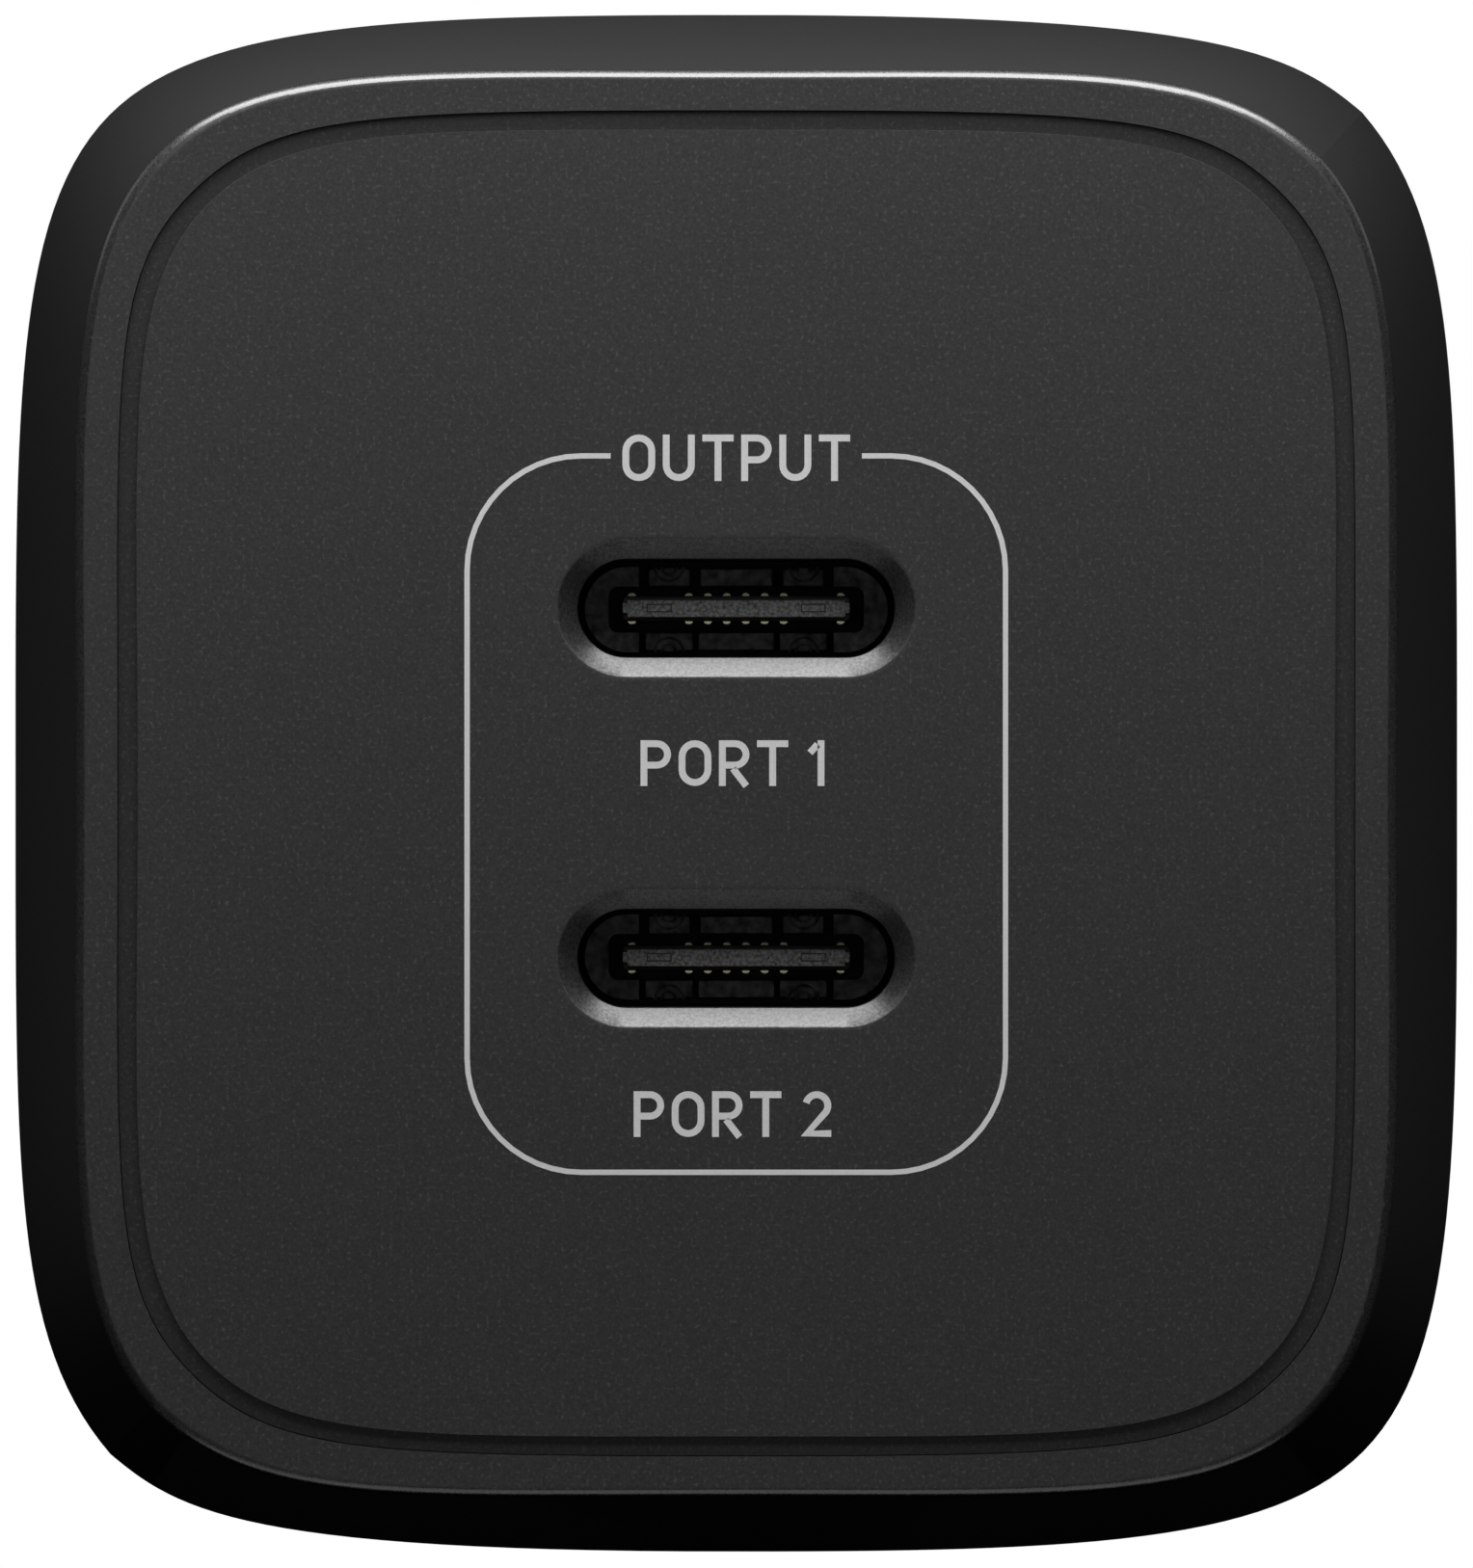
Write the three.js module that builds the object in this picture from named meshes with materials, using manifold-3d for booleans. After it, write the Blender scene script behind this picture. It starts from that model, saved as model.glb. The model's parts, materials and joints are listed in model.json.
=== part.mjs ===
// A compact USB wall charger: a tapered sleeve with a flush face plate and two USB-C ports, a back
// cover with a folding two-blade mains plug, and the boards and electrical parts between them.
//
// Millimetres. +Z is up, +X is right as seen from the front, and the front faces -Y. The origin is
// the middle of the flat back face, which lies against the wall.

import * as THREE from "three";
import { mergeVertices } from "three/addons/utils/BufferGeometryUtils.js";
import Module from "manifold-3d";

const wasm = await Module();
wasm.setup();

// ---- Driving dimensions ---------------------------------------------------------------------

const DEPTH = 44; // from the face plate to the wall
const FACE_FILLET = 0.3; // round on the front outer edge
const BACK_FILLET = 2; // round on the back outer edge
const STRAIGHT_TAPER = 0.75; // share of the side wall that widens evenly, before it eases off

// An outline is four quarters. Each runs from the middle of its top or bottom edge to the middle of
// its side edge, as two Bezier curves that meet at the corner. Lengths are shares of the half width
// or half height: shoulder is how far the edge runs straight, pull how far the curve runs straight
// at the corner, and slope its angle there, in degrees from the horizontal. Where the two slopes
// differ, the corner is creased.
const even = (at, shoulder, pull, slope) => {
  const arm = { shoulder, pull, slope };
  return { corner: [at, at], top: arm, side: arm };
};
const FACE_OUTLINE = {
  half: [17.36, 18.76],
  rounded: even(0.8795, 0.4935, 0.2, 47.1),
  creased: {
    corner: [0.886, 0.877],
    top: { shoulder: 0.526, pull: 0.221, slope: 43.1 },
    side: { shoulder: 0.5, pull: 0.194, slope: 48.3 },
  },
};
const WIDEST_OUTLINE = {
  half: [19.7, 21],
  rounded: even(0.8696, 0.4747, 0.179, 45.2),
  creased: {
    corner: [0.868, 0.873],
    top: { shoulder: 0.682, pull: 0.1235, slope: 40.2 },
    side: { shoulder: 0.509, pull: 0.195, slope: 49.2 },
  },
};
const plainOutline = (half, corner) => ({ half, rounded: corner, creased: corner });
const RECESS_OUTLINE = plainOutline([16.25, 17.68], even(0.879, 0.611, 0.178, 44.7));
const PLATE_OUTLINE = plainOutline([15.72, 17.16], even(0.885, 0.54, 0.188, 45.6));
const CAVITY_FRONT_OUTLINE = plainOutline([15.4, 16.8], even(0.88, 0.55, 0.18, 45));
const CAVITY_BACK_OUTLINE = plainOutline([17.7, 19], even(0.87, 0.475, 0.18, 45));
const COVER_RECESS_OUTLINE = plainOutline([17, 18.3], even(0.87, 0.475, 0.18, 45));
const CURVE_STEPS = 7; // points on each Bezier curve

const LEDGE_WIDTH = 0.8; // shelf that a cover plate rests on
const FIT_GAP = 0.1; // play between a plate and its recess

const PLATE_THICKNESS = 1.8;
const GROOVE_DEPTH = 0.4; // shadow gap round the face plate
const EDGE_BREAK = 0.1; // softened edges of the ring and the plate

const PORT_HEIGHTS = { upper: 4.6, lower: -4.6 };
const PORT_HOLE = [4.175, 1.295]; // half width and half height
const PORT_CHAMFER = 0.51;
const STADIUM_STEPS = 8; // segments on each round end

const COVER_THICKNESS = 2;

const PLUG_AXIS = { y: -3.5, z: 8 };
const BLADE_SPACING = 12.7;
const BLADE_WIDTH = 6.35;
const BLADE_THICKNESS = 1.5;
const BLADE_REACH = 20.5; // tip to folding axis: 17 mm stand out of the wall face
const ROTOR_RADIUS = 3.4;
const ROTOR_HALF_LENGTH = 8.8;
const SHAFT_RADIUS = 1.3;
const SHAFT_HALF_LENGTH = 11;
const TURN_GAP = 0.3; // clearance round everything that turns
const RETAINER_FACE = -7.8; // where the retainer meets its bosses
const RETAINER_SCREW_X = 13.6;

// ---- Solids ---------------------------------------------------------------------------------

// Distance behind the front plane, as a Y coordinate.
const behindFace = (distance) => distance - DEPTH;

// The two sides of each mirrored pair, by name and the sign of X.
const SIDES = [["left", -1], ["right", 1]];

// A closed geometry as a solid, turned the right way out.
function solid(geometry) {
  const bare = geometry.clone();
  bare.deleteAttribute("normal");
  bare.deleteAttribute("uv");
  const merged = mergeVertices(bare, 1e-4);
  const vertProperties = merged.attributes.position.array;
  const triVerts = new Uint32Array(merged.index.array);
  const made = new wasm.Manifold(new wasm.Mesh({ numProp: 3, vertProperties, triVerts }));
  if (made.volume() > 0) return made;
  for (let i = 0; i < triVerts.length; i += 3) {
    [triVerts[i], triVerts[i + 1]] = [triVerts[i + 1], triVerts[i]];
  }
  return new wasm.Manifold(new wasm.Mesh({ numProp: 3, vertProperties, triVerts }));
}

const ordered = (...limits) => limits.sort((a, b) => a - b);
const join = (...solids) => solids.reduce((whole, piece) => whole.add(piece));
const cut = (whole, ...tools) => tools.reduce((left, tool) => left.subtract(tool), whole);

// A box between two limits on each axis.
function box([x0, x1], [y0, y1], [z0, z1]) {
  const geometry = new THREE.BoxGeometry(x1 - x0, y1 - y0, z1 - z0);
  geometry.translate((x0 + x1) / 2, (y0 + y1) / 2, (z0 + z1) / 2);
  return solid(geometry);
}

// A box about a centre, of the given full sizes.
const boxAt = (centre, size) =>
  box(...centre.map((middle, axis) => [middle - size[axis] / 2, middle + size[axis] / 2]));

// A round bar along an axis, between two limits on it, through the point `centre`.
function rod(axis, radius, [from, to], centre, segments = 20) {
  const geometry = new THREE.CylinderGeometry(radius, radius, to - from, segments);
  if (axis === "x") geometry.rotateZ(-Math.PI / 2);
  if (axis === "z") geometry.rotateX(Math.PI / 2);
  const place = { x: 0, y: 0, z: 0, ...centre };
  place[axis] = (from + to) / 2;
  geometry.translate(place.x, place.y, place.z);
  return solid(geometry);
}

// A flat outline in Y and Z, extruded along X between two limits.
function plate(points, [from, to]) {
  const shape = new THREE.Shape(points.map(([y, z]) => new THREE.Vector2(y, z)));
  const geometry = new THREE.ExtrudeGeometry(shape, { depth: to - from, bevelEnabled: false });
  const toYZ = new THREE.Matrix4().makeBasis(
    new THREE.Vector3(0, 1, 0),
    new THREE.Vector3(0, 0, 1),
    new THREE.Vector3(1, 0, 0),
  );
  geometry.applyMatrix4(toYZ);
  geometry.translate(from, 0, 0);
  return solid(geometry);
}

// A skin through loops of points. A ring loft joins its last loop to its first; any other loft is
// closed by a flat cap at each end.
function loft(loops, isRing = false) {
  const count = loops[0].length;
  const positions = loops.flat().flatMap((point) => point.toArray());
  const triangles = [];
  const spans = isRing ? loops.length : loops.length - 1;
  for (let span = 0; span < spans; span += 1) {
    const near = span * count;
    const far = ((span + 1) % loops.length) * count;
    for (let i = 0; i < count; i += 1) {
      const next = (i + 1) % count;
      triangles.push(near + i, far + i, near + next);
      triangles.push(near + next, far + i, far + next);
    }
  }
  if (!isRing) {
    const last = (loops.length - 1) * count;
    for (let i = 1; i < count - 1; i += 1) {
      triangles.push(0, i, i + 1);
      triangles.push(last, last + i + 1, last + i);
    }
  }
  const geometry = new THREE.BufferGeometry();
  geometry.setAttribute("position", new THREE.Float32BufferAttribute(positions, 3));
  geometry.setIndex(triangles);
  return solid(geometry);
}

// ---- Outlines -------------------------------------------------------------------------------

// One quarter of an outline in X and Z. Both end points are left out, so that the flats in the
// middle of each edge are centred.
function quarter(width, height, { corner, top, side }) {
  const heading = (slope) => {
    const angle = THREE.MathUtils.degToRad(slope);
    return new THREE.Vector2(Math.cos(angle), -Math.sin(angle));
  };
  const tip = new THREE.Vector2(corner[0] * width, corner[1] * height);
  const topCurve = new THREE.CubicBezierCurve(
    new THREE.Vector2(0, height),
    new THREE.Vector2(top.shoulder * width, height),
    tip.clone().addScaledVector(heading(top.slope), -top.pull * width),
    tip,
  );
  const sideCurve = new THREE.CubicBezierCurve(
    tip,
    tip.clone().addScaledVector(heading(side.slope), side.pull * height),
    new THREE.Vector2(width, side.shoulder * height),
    new THREE.Vector2(width, 0),
  );
  const points = [];
  for (let i = 1; i <= CURVE_STEPS; i += 1) points.push(topCurve.getPoint(i / CURVE_STEPS));
  for (let i = 1; i < CURVE_STEPS; i += 1) points.push(sideCurve.getPoint(i / CURVE_STEPS));
  return points;
}

// A whole outline, pulled in by `inset`. The upper right and lower left corners can be creased.
function outlinePoints(outline, inset = 0) {
  const [width, height] = outline.half.map((half) => half - inset);
  const mirrored = (points, x, z) => points.map((p) => new THREE.Vector2(p.x * x, p.y * z));
  const creased = quarter(width, height, outline.creased);
  const rounded = quarter(width, height, outline.rounded);
  return [
    ...creased,
    ...mirrored(rounded, 1, -1).reverse(),
    ...mirrored(creased, -1, -1),
    ...mirrored(rounded, -1, 1).reverse(),
  ];
}

const standUp = (points, y) => points.map((point) => new THREE.Vector3(point.x, y, point.y));
const outlineLoop = (outline, inset, y) => standUp(outlinePoints(outline, inset), y);

// The outer skin, `growth` of the way from the face outline to the widest outline.
function skinLoop(growth, inset, y) {
  const face = outlinePoints(FACE_OUTLINE, inset);
  const widest = outlinePoints(WIDEST_OUTLINE, inset);
  return standUp(face.map((point, i) => point.lerp(widest[i], growth)), y);
}

// How far the side wall has widened, `share` of the way along it: evenly at first, then easing off.
function wallGrowth(share) {
  const eased = Math.max(share - STRAIGHT_TAPER, 0);
  const widened = share - eased ** 2 / (2 * (1 - STRAIGHT_TAPER));
  return widened / ((1 + STRAIGHT_TAPER) / 2);
}

// A slot with round ends, lying along X.
function stadiumLoop([halfWidth, halfHeight], y, z = 0) {
  const points = [];
  for (const side of [1, -1]) {
    for (let i = 0; i <= STADIUM_STEPS; i += 1) {
      const angle = (side * Math.PI) / 2 - (Math.PI * i) / STADIUM_STEPS;
      const x = side * (halfWidth - halfHeight) + halfHeight * Math.cos(angle);
      points.push(new THREE.Vector3(x, y, z + halfHeight * Math.sin(angle)));
    }
  }
  return points;
}

const grown = ([width, height], by) => [width + by, height + by];

// ---- Materials ------------------------------------------------------------------------------

const finish = (color, roughness, metalness = 0) =>
  new THREE.MeshStandardMaterial({ color, roughness, metalness });
const MATERIALS = {
  shell: finish(0x2b2b2b, 0.6),
  rotor: finish(0x242424, 0.55),
  blade: finish(0xc9c6c0, 0.3, 1),
  steel: finish(0x9a9b9e, 0.35, 1),
  darkSteel: finish(0x3a3a3c, 0.45, 1),
  bronze: finish(0xb98a52, 0.4, 1),
  gold: finish(0xd9c27a, 0.3, 1),
  black: finish(0x141414, 0.6),
  board: finish(0x1f5a35, 0.5),
  ferrite: finish(0x37383b, 0.8),
  copper: finish(0xb26a3c, 0.35, 1),
  tape: finish(0xe0b52c, 0.45),
  capacitor: finish(0x23252d, 0.35),
  aluminium: finish(0xb9bcc0, 0.4, 1),
  ceramic: finish(0x3b6fb0, 0.45),
  film: finish(0xd8cf9a, 0.35),
  chip: finish(0x1c1c1e, 0.5),
  grey: finish(0x8c8f92, 0.5),
};

const charger = new THREE.Group();

// Adds a solid as a named mesh to `parent`.
function piece(name, shape, material, parent = charger) {
  const made = shape.getMesh();
  const points = new Float32Array(made.numVert * 3);
  for (let i = 0; i < made.numVert; i += 1) {
    const start = i * made.numProp;
    points.set(made.vertProperties.subarray(start, start + 3), i * 3);
  }
  const geometry = new THREE.BufferGeometry();
  geometry.setAttribute("position", new THREE.BufferAttribute(points, 3));
  geometry.setIndex(new THREE.BufferAttribute(made.triVerts, 1));
  geometry.computeVertexNormals();
  const mesh = new THREE.Mesh(geometry, material);
  mesh.name = name;
  parent.add(mesh);
}

function groupAt(x, y, z, parent = charger) {
  const group = new THREE.Group();
  group.position.set(x, y, z);
  parent.add(group);
  return group;
}

// ---- Casing ---------------------------------------------------------------------------------

// The sleeve: outer skin from front to back, then the inside from back to front.
function housing() {
  const loops = [];
  const faceSteps = 3;
  for (let i = 0; i <= faceSteps; i += 1) {
    const angle = (Math.PI / 2) * (i / faceSteps);
    const inset = FACE_FILLET * (1 - Math.sin(angle));
    loops.push(skinLoop(0, inset, behindFace(FACE_FILLET * (1 - Math.cos(angle)))));
  }
  const wallEnd = DEPTH - BACK_FILLET;
  for (const share of [0.375, 0.75, 0.875, 1]) {
    const distance = FACE_FILLET + share * (wallEnd - FACE_FILLET);
    loops.push(skinLoop(wallGrowth(share), 0, behindFace(distance)));
  }
  const backSteps = 4;
  for (let i = 1; i <= backSteps; i += 1) {
    const angle = (Math.PI / 2) * (i / backSteps);
    const inset = BACK_FILLET * (1 - Math.cos(angle));
    loops.push(skinLoop(1, inset, -BACK_FILLET * (1 - Math.sin(angle))));
  }
  const coverSeat = -COVER_THICKNESS - FIT_GAP;
  const plateSeat = behindFace(PLATE_THICKNESS + FIT_GAP);
  const shelfThickness = 1.3;
  const shelfSlope = 1.5;
  loops.push(
    outlineLoop(COVER_RECESS_OUTLINE, 0, 0),
    outlineLoop(COVER_RECESS_OUTLINE, 0, coverSeat),
    outlineLoop(COVER_RECESS_OUTLINE, LEDGE_WIDTH, coverSeat),
    outlineLoop(COVER_RECESS_OUTLINE, LEDGE_WIDTH, coverSeat - shelfThickness),
    outlineLoop(CAVITY_BACK_OUTLINE, 0, coverSeat - shelfThickness - shelfSlope),
    outlineLoop(CAVITY_FRONT_OUTLINE, 0, plateSeat + shelfThickness),
    outlineLoop(CAVITY_FRONT_OUTLINE, LEDGE_WIDTH, plateSeat + shelfThickness),
    outlineLoop(CAVITY_FRONT_OUTLINE, LEDGE_WIDTH, plateSeat),
    outlineLoop(RECESS_OUTLINE, 0, plateSeat),
    outlineLoop(RECESS_OUTLINE, 0, behindFace(EDGE_BREAK)),
    outlineLoop(RECESS_OUTLINE, -EDGE_BREAK, behindFace(0)),
  );
  return loft(loops, true);
}

// The face plate: raised middle, flange below the shadow gap, and a chamfered hole for each port.
function frontPanel() {
  const body = loft([
    outlineLoop(PLATE_OUTLINE, EDGE_BREAK, behindFace(0)),
    outlineLoop(PLATE_OUTLINE, 0, behindFace(EDGE_BREAK)),
    outlineLoop(PLATE_OUTLINE, 0, behindFace(GROOVE_DEPTH)),
    outlineLoop(RECESS_OUTLINE, FIT_GAP, behindFace(GROOVE_DEPTH)),
    outlineLoop(RECESS_OUTLINE, FIT_GAP, behindFace(PLATE_THICKNESS)),
  ]);
  const clear = 0.1;
  const holes = Object.values(PORT_HEIGHTS).map((z) =>
    loft([
      stadiumLoop(grown(PORT_HOLE, PORT_CHAMFER + clear), behindFace(-clear), z),
      stadiumLoop(PORT_HOLE, behindFace(PORT_CHAMFER), z),
      stadiumLoop(PORT_HOLE, behindFace(PLATE_THICKNESS + clear), z),
    ]),
  );
  return cut(body, ...holes);
}

// The back cover: a plate with a window for the plug's rotor, a deep slot for each folded blade, a
// finger scoop across the blades' tips, and bosses and saddles on its inner side.
function backCover() {
  const inner = -COVER_THICKNESS;
  const past = 1; // how far a cutting tool runs past the faces it opens
  const wall = 1.2;
  const windowHalf = ROTOR_HALF_LENGTH + TURN_GAP;
  const windowZ = [PLUG_AXIS.z - ROTOR_RADIUS - TURN_GAP, PLUG_AXIS.z + ROTOR_RADIUS + TURN_GAP];
  const pocketFloor = -6.8;
  const slotHalf = BLADE_THICKNESS / 2 + 0.4;
  const slotFloor = PLUG_AXIS.y - BLADE_WIDTH / 2 - 0.425;
  const slotEnd = PLUG_AXIS.z - BLADE_REACH - 0.4;
  const scoop = { radius: 7.5, y: 4.9, z: -9.3, half: 9.4 };
  const ear = { near: windowHalf + 0.1, far: windowHalf + 2.2, half: 3 };
  const saddle = SHAFT_RADIUS + 0.15;
  const bossFace = RETAINER_FACE + FIT_GAP;

  const plateBody = loft([
    outlineLoop(COVER_RECESS_OUTLINE, FIT_GAP, inner),
    outlineLoop(COVER_RECESS_OUTLINE, FIT_GAP, 0),
  ]);
  const pocket = box(
    [-windowHalf - wall, windowHalf + wall],
    [pocketFloor, inner + 0.5],
    [windowZ[0] - wall, windowZ[1] + wall],
  );
  const scoopBacking = box(
    [-scoop.half - wall, scoop.half + wall],
    [inner - 2.4, inner + 0.5],
    [-15.6, -3],
  );
  const window = box([-windowHalf, windowHalf], [bossFace - past, past], windowZ);
  const scoopCut = rod("x", scoop.radius, [-scoop.half, scoop.half], { y: scoop.y, z: scoop.z }, 40);

  let cover = join(plateBody, pocket, scoopBacking);
  for (const side of [-1, 1]) {
    const bladeX = (side * BLADE_SPACING) / 2;
    cover = join(
      cover,
      box(
        [bladeX - slotHalf - wall, bladeX + slotHalf + wall],
        [slotFloor - wall, inner + 0.5],
        [slotEnd - wall, windowZ[0] - 0.1],
      ),
      box(
        ordered(side * ear.near, side * ear.far),
        [bossFace, inner + 0.5],
        [PLUG_AXIS.z - ear.half, PLUG_AXIS.z + ear.half],
      ),
      rod("y", 2, [bossFace, inner + 0.5], { x: side * RETAINER_SCREW_X, z: PLUG_AXIS.z }),
    );
  }
  cover = cut(cover, window, scoopCut);
  for (const side of [-1, 1]) {
    const bladeX = (side * BLADE_SPACING) / 2;
    const throughEar = ordered(side * (windowHalf - 0.5), side * (ear.far + past));
    cover = cut(
      cover,
      box([bladeX - slotHalf, bladeX + slotHalf], [slotFloor, past], [slotEnd, PLUG_AXIS.z]),
      rod("x", saddle, throughEar, PLUG_AXIS),
      box(
        throughEar,
        [bossFace - past, PLUG_AXIS.y],
        [PLUG_AXIS.z - saddle, PLUG_AXIS.z + saddle],
      ),
      rod("y", 0.9, [bossFace - past, inner - 0.5], {
        x: side * RETAINER_SCREW_X,
        z: PLUG_AXIS.z,
      }),
    );
  }
  return cover;
}

piece("housing", housing(), MATERIALS.shell);
piece("front_panel", frontPanel(), MATERIALS.shell);
piece("back_cover", backCover(), MATERIALS.shell);

// ---- Folding plug ---------------------------------------------------------------------------

// Everything here is drawn about the folding axis, with the blades folded down along -Z.
const plug = groupAt(0, PLUG_AXIS.y, PLUG_AXIS.z);
const BLADE_ROOT_HALF = 2.2; // half width of the blade inside the rotor
const LUG_HALF = 1.2; // half width of the contact lug on the blade's inner end
const LUG_TOP = 3.1;
const SHOULDER = ROTOR_RADIUS + 0.05; // the blade takes its full width just outside the rotor

// The rotor: round where it turns in its pocket, square where it closes the window.
function rotor() {
  let body = join(
    rod("x", ROTOR_RADIUS, [-ROTOR_HALF_LENGTH, ROTOR_HALF_LENGTH], {}, 48),
    box([-ROTOR_HALF_LENGTH, ROTOR_HALF_LENGTH], [0, ROTOR_RADIUS], [-ROTOR_RADIUS, 0]),
    rod("x", SHAFT_RADIUS, [-SHAFT_HALF_LENGTH, SHAFT_HALF_LENGTH], {}),
  );
  const play = 0.1;
  for (const side of [-1, 1]) {
    const bladeX = (side * BLADE_SPACING) / 2;
    const slotX = [bladeX - BLADE_THICKNESS / 2 - play, bladeX + BLADE_THICKNESS / 2 + play];
    const rootHalf = BLADE_ROOT_HALF + play;
    const lugHalf = LUG_HALF + play;
    body = cut(
      body,
      box(slotX, [-rootHalf, rootHalf], [-ROTOR_RADIUS - 1, 1 + play]),
      box(slotX, [-lugHalf, lugHalf], [0, ROTOR_RADIUS + 1]),
    );
  }
  return body;
}

// A mains blade with a tapered tip, a locking hole, and a contact lug on its inner end.
function blade(x) {
  const half = BLADE_WIDTH / 2;
  const tipLength = 1.6;
  const tipHalf = 2;
  const outline = [
    [-LUG_HALF, LUG_TOP],
    [-LUG_HALF, 1],
    [-BLADE_ROOT_HALF, 1],
    [-BLADE_ROOT_HALF, -SHOULDER],
    [-half, -SHOULDER],
    [-half, tipLength - BLADE_REACH],
    [-tipHalf, -BLADE_REACH],
    [tipHalf, -BLADE_REACH],
    [half, tipLength - BLADE_REACH],
    [half, -SHOULDER],
    [BLADE_ROOT_HALF, -SHOULDER],
    [BLADE_ROOT_HALF, 1],
    [LUG_HALF, 1],
    [LUG_HALF, LUG_TOP],
  ];
  const thickness = [x - BLADE_THICKNESS / 2, x + BLADE_THICKNESS / 2];
  const holeFromAxis = 15.3;
  const hole = rod("x", 1.6, [thickness[0] - 1, thickness[1] + 1], { z: -holeFromAxis });
  return cut(plate(outline, thickness), hole);
}

piece("plug_rotor", rotor(), MATERIALS.rotor, plug);
piece("plug_blade_left", blade(-BLADE_SPACING / 2), MATERIALS.blade, plug);
piece("plug_blade_right", blade(BLADE_SPACING / 2), MATERIALS.blade, plug);

// The retainer bridges the rotor on the inner side. Its two pegs hold the shaft in its saddles.
function rotorRetainer() {
  const plateY = [RETAINER_FACE - 1.2, RETAINER_FACE];
  const half = RETAINER_SCREW_X + 2;
  let bridge = box([-half, half], plateY, [PLUG_AXIS.z - 2.6, PLUG_AXIS.z + 2.6]);
  for (const side of [-1, 1]) {
    const pegX = ordered(side * 9.4, side * 11);
    const pegTop = PLUG_AXIS.y - SHAFT_RADIUS - 0.15;
    bridge = join(bridge, box(pegX, [RETAINER_FACE, pegTop], [PLUG_AXIS.z - 1.3, PLUG_AXIS.z + 1.3]));
    const screwHole = { x: side * RETAINER_SCREW_X, z: PLUG_AXIS.z };
    bridge = cut(bridge, rod("y", 1.1, [RETAINER_FACE - 2, RETAINER_FACE + 1], screwHole));
  }
  return bridge;
}

// A small self-tapping screw with a cross in its head, driven from the inner side.
function retainerScrew(x) {
  const headY = [RETAINER_FACE - 2.6, RETAINER_FACE - 1.3];
  const centre = { x, z: PLUG_AXIS.z };
  const cross = (width, height) =>
    boxAt([x, headY[0], PLUG_AXIS.z], [width, 1.2, height]);
  return cut(
    join(rod("y", 1.8, headY, centre), rod("y", 0.75, [headY[1], -3.2], centre, 12)),
    cross(2.2, 0.5),
    cross(0.5, 2.2),
  );
}

const LEAF_Y = [-7.35, -7.05]; // leaf springs lie between the rotor and the retainer

piece("rotor_retainer", rotorRetainer(), MATERIALS.grey);
for (const [name, side] of SIDES) {
  piece(`retainer_screw_${name}`, retainerScrew(side * RETAINER_SCREW_X), MATERIALS.steel);
  const leafX = (side * BLADE_SPACING) / 2;
  const leaf = box([leafX - 0.7, leafX + 0.7], LEAF_Y, [PLUG_AXIS.z - 1.2, 14.8]);
  piece(`contact_spring_${name}`, leaf, MATERIALS.bronze);
}
piece(
  "detent_spring",
  box([-3.2, 3.2], LEAF_Y, [PLUG_AXIS.z - 2.4, PLUG_AXIS.z + 2.4]),
  MATERIALS.steel,
);

// ---- USB-C ports ----------------------------------------------------------------------------

const SHELL_INNER = [4.17, 1.28];
const SHELL_OUTER = [4.47, 1.63];
const SHELL_MOUTH = 1.95; // distances behind the face
const SHELL_BACK = 10.5;
const TONGUE_TIP = 2.95;
const BASE_FACE = 8;
const TONGUE_HALF = [3.345, 0.35];
const CONTACT_PLACES = [-2.75, -1.25, -0.75, -0.25, 0.25, 0.75, 1.25, 2.75];

// Each port is drawn about its own middle, with Y still measured from the wall.
function usbPort(name, z) {
  const port = groupAt(0, 0, z);
  const shellBody = loft([
    stadiumLoop(SHELL_OUTER, behindFace(SHELL_MOUTH)),
    stadiumLoop(SHELL_OUTER, behindFace(SHELL_BACK)),
  ]);
  const shellBore = loft([
    stadiumLoop(SHELL_INNER, behindFace(SHELL_MOUTH - 1)),
    stadiumLoop(SHELL_INNER, behindFace(SHELL_BACK + 1)),
  ]);
  piece(`${name}_port_shell`, cut(shellBody, shellBore), MATERIALS.darkSteel, port);

  const base = loft([
    stadiumLoop(grown(SHELL_INNER, -0.08), behindFace(BASE_FACE)),
    stadiumLoop(grown(SHELL_INNER, -0.08), behindFace(SHELL_BACK)),
  ]);
  const tongue = box(
    [-TONGUE_HALF[0], TONGUE_HALF[0]],
    [behindFace(TONGUE_TIP), behindFace(BASE_FACE + 0.5)],
    [-TONGUE_HALF[1], TONGUE_HALF[1]],
  );
  const latchSlot = box(
    [-TONGUE_HALF[0] - 1, TONGUE_HALF[0] + 1],
    [behindFace(TONGUE_TIP + 0.6), behindFace(BASE_FACE)],
    [-0.14, 0.14],
  );
  const insulator = cut(join(base, tongue), latchSlot);
  piece(`${name}_port_tongue`, insulator, MATERIALS.black, port);

  const latchPlate = box(
    [-TONGUE_HALF[0], TONGUE_HALF[0]],
    [behindFace(TONGUE_TIP + 0.7), behindFace(BASE_FACE - 0.1)],
    [-0.07, 0.07],
  );
  piece(`${name}_port_latch_plate`, latchPlate, MATERIALS.steel, port);

  // Eight contacts a side lie on the tongue. Each row is one comb, held by its carrier strip.
  for (const [row, up] of [["upper", 1], ["lower", -1]]) {
    const faces = ordered(up * 0.4, up * 0.5);
    const fingers = CONTACT_PLACES.map((x) =>
      box([x - 0.12, x + 0.12], [behindFace(TONGUE_TIP + 0.4), behindFace(BASE_FACE - 0.1)], faces),
    );
    const carrier = box(
      [CONTACT_PLACES[0], CONTACT_PLACES.at(-1)],
      [behindFace(BASE_FACE - 0.4), behindFace(BASE_FACE - 0.1)],
      faces,
    );
    piece(`${name}_port_contacts_${row}`, join(carrier, ...fingers), MATERIALS.gold, port);
  }
}

for (const [name, z] of Object.entries(PORT_HEIGHTS)) usbPort(name, z);

// ---- Boards ---------------------------------------------------------------------------------

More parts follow.
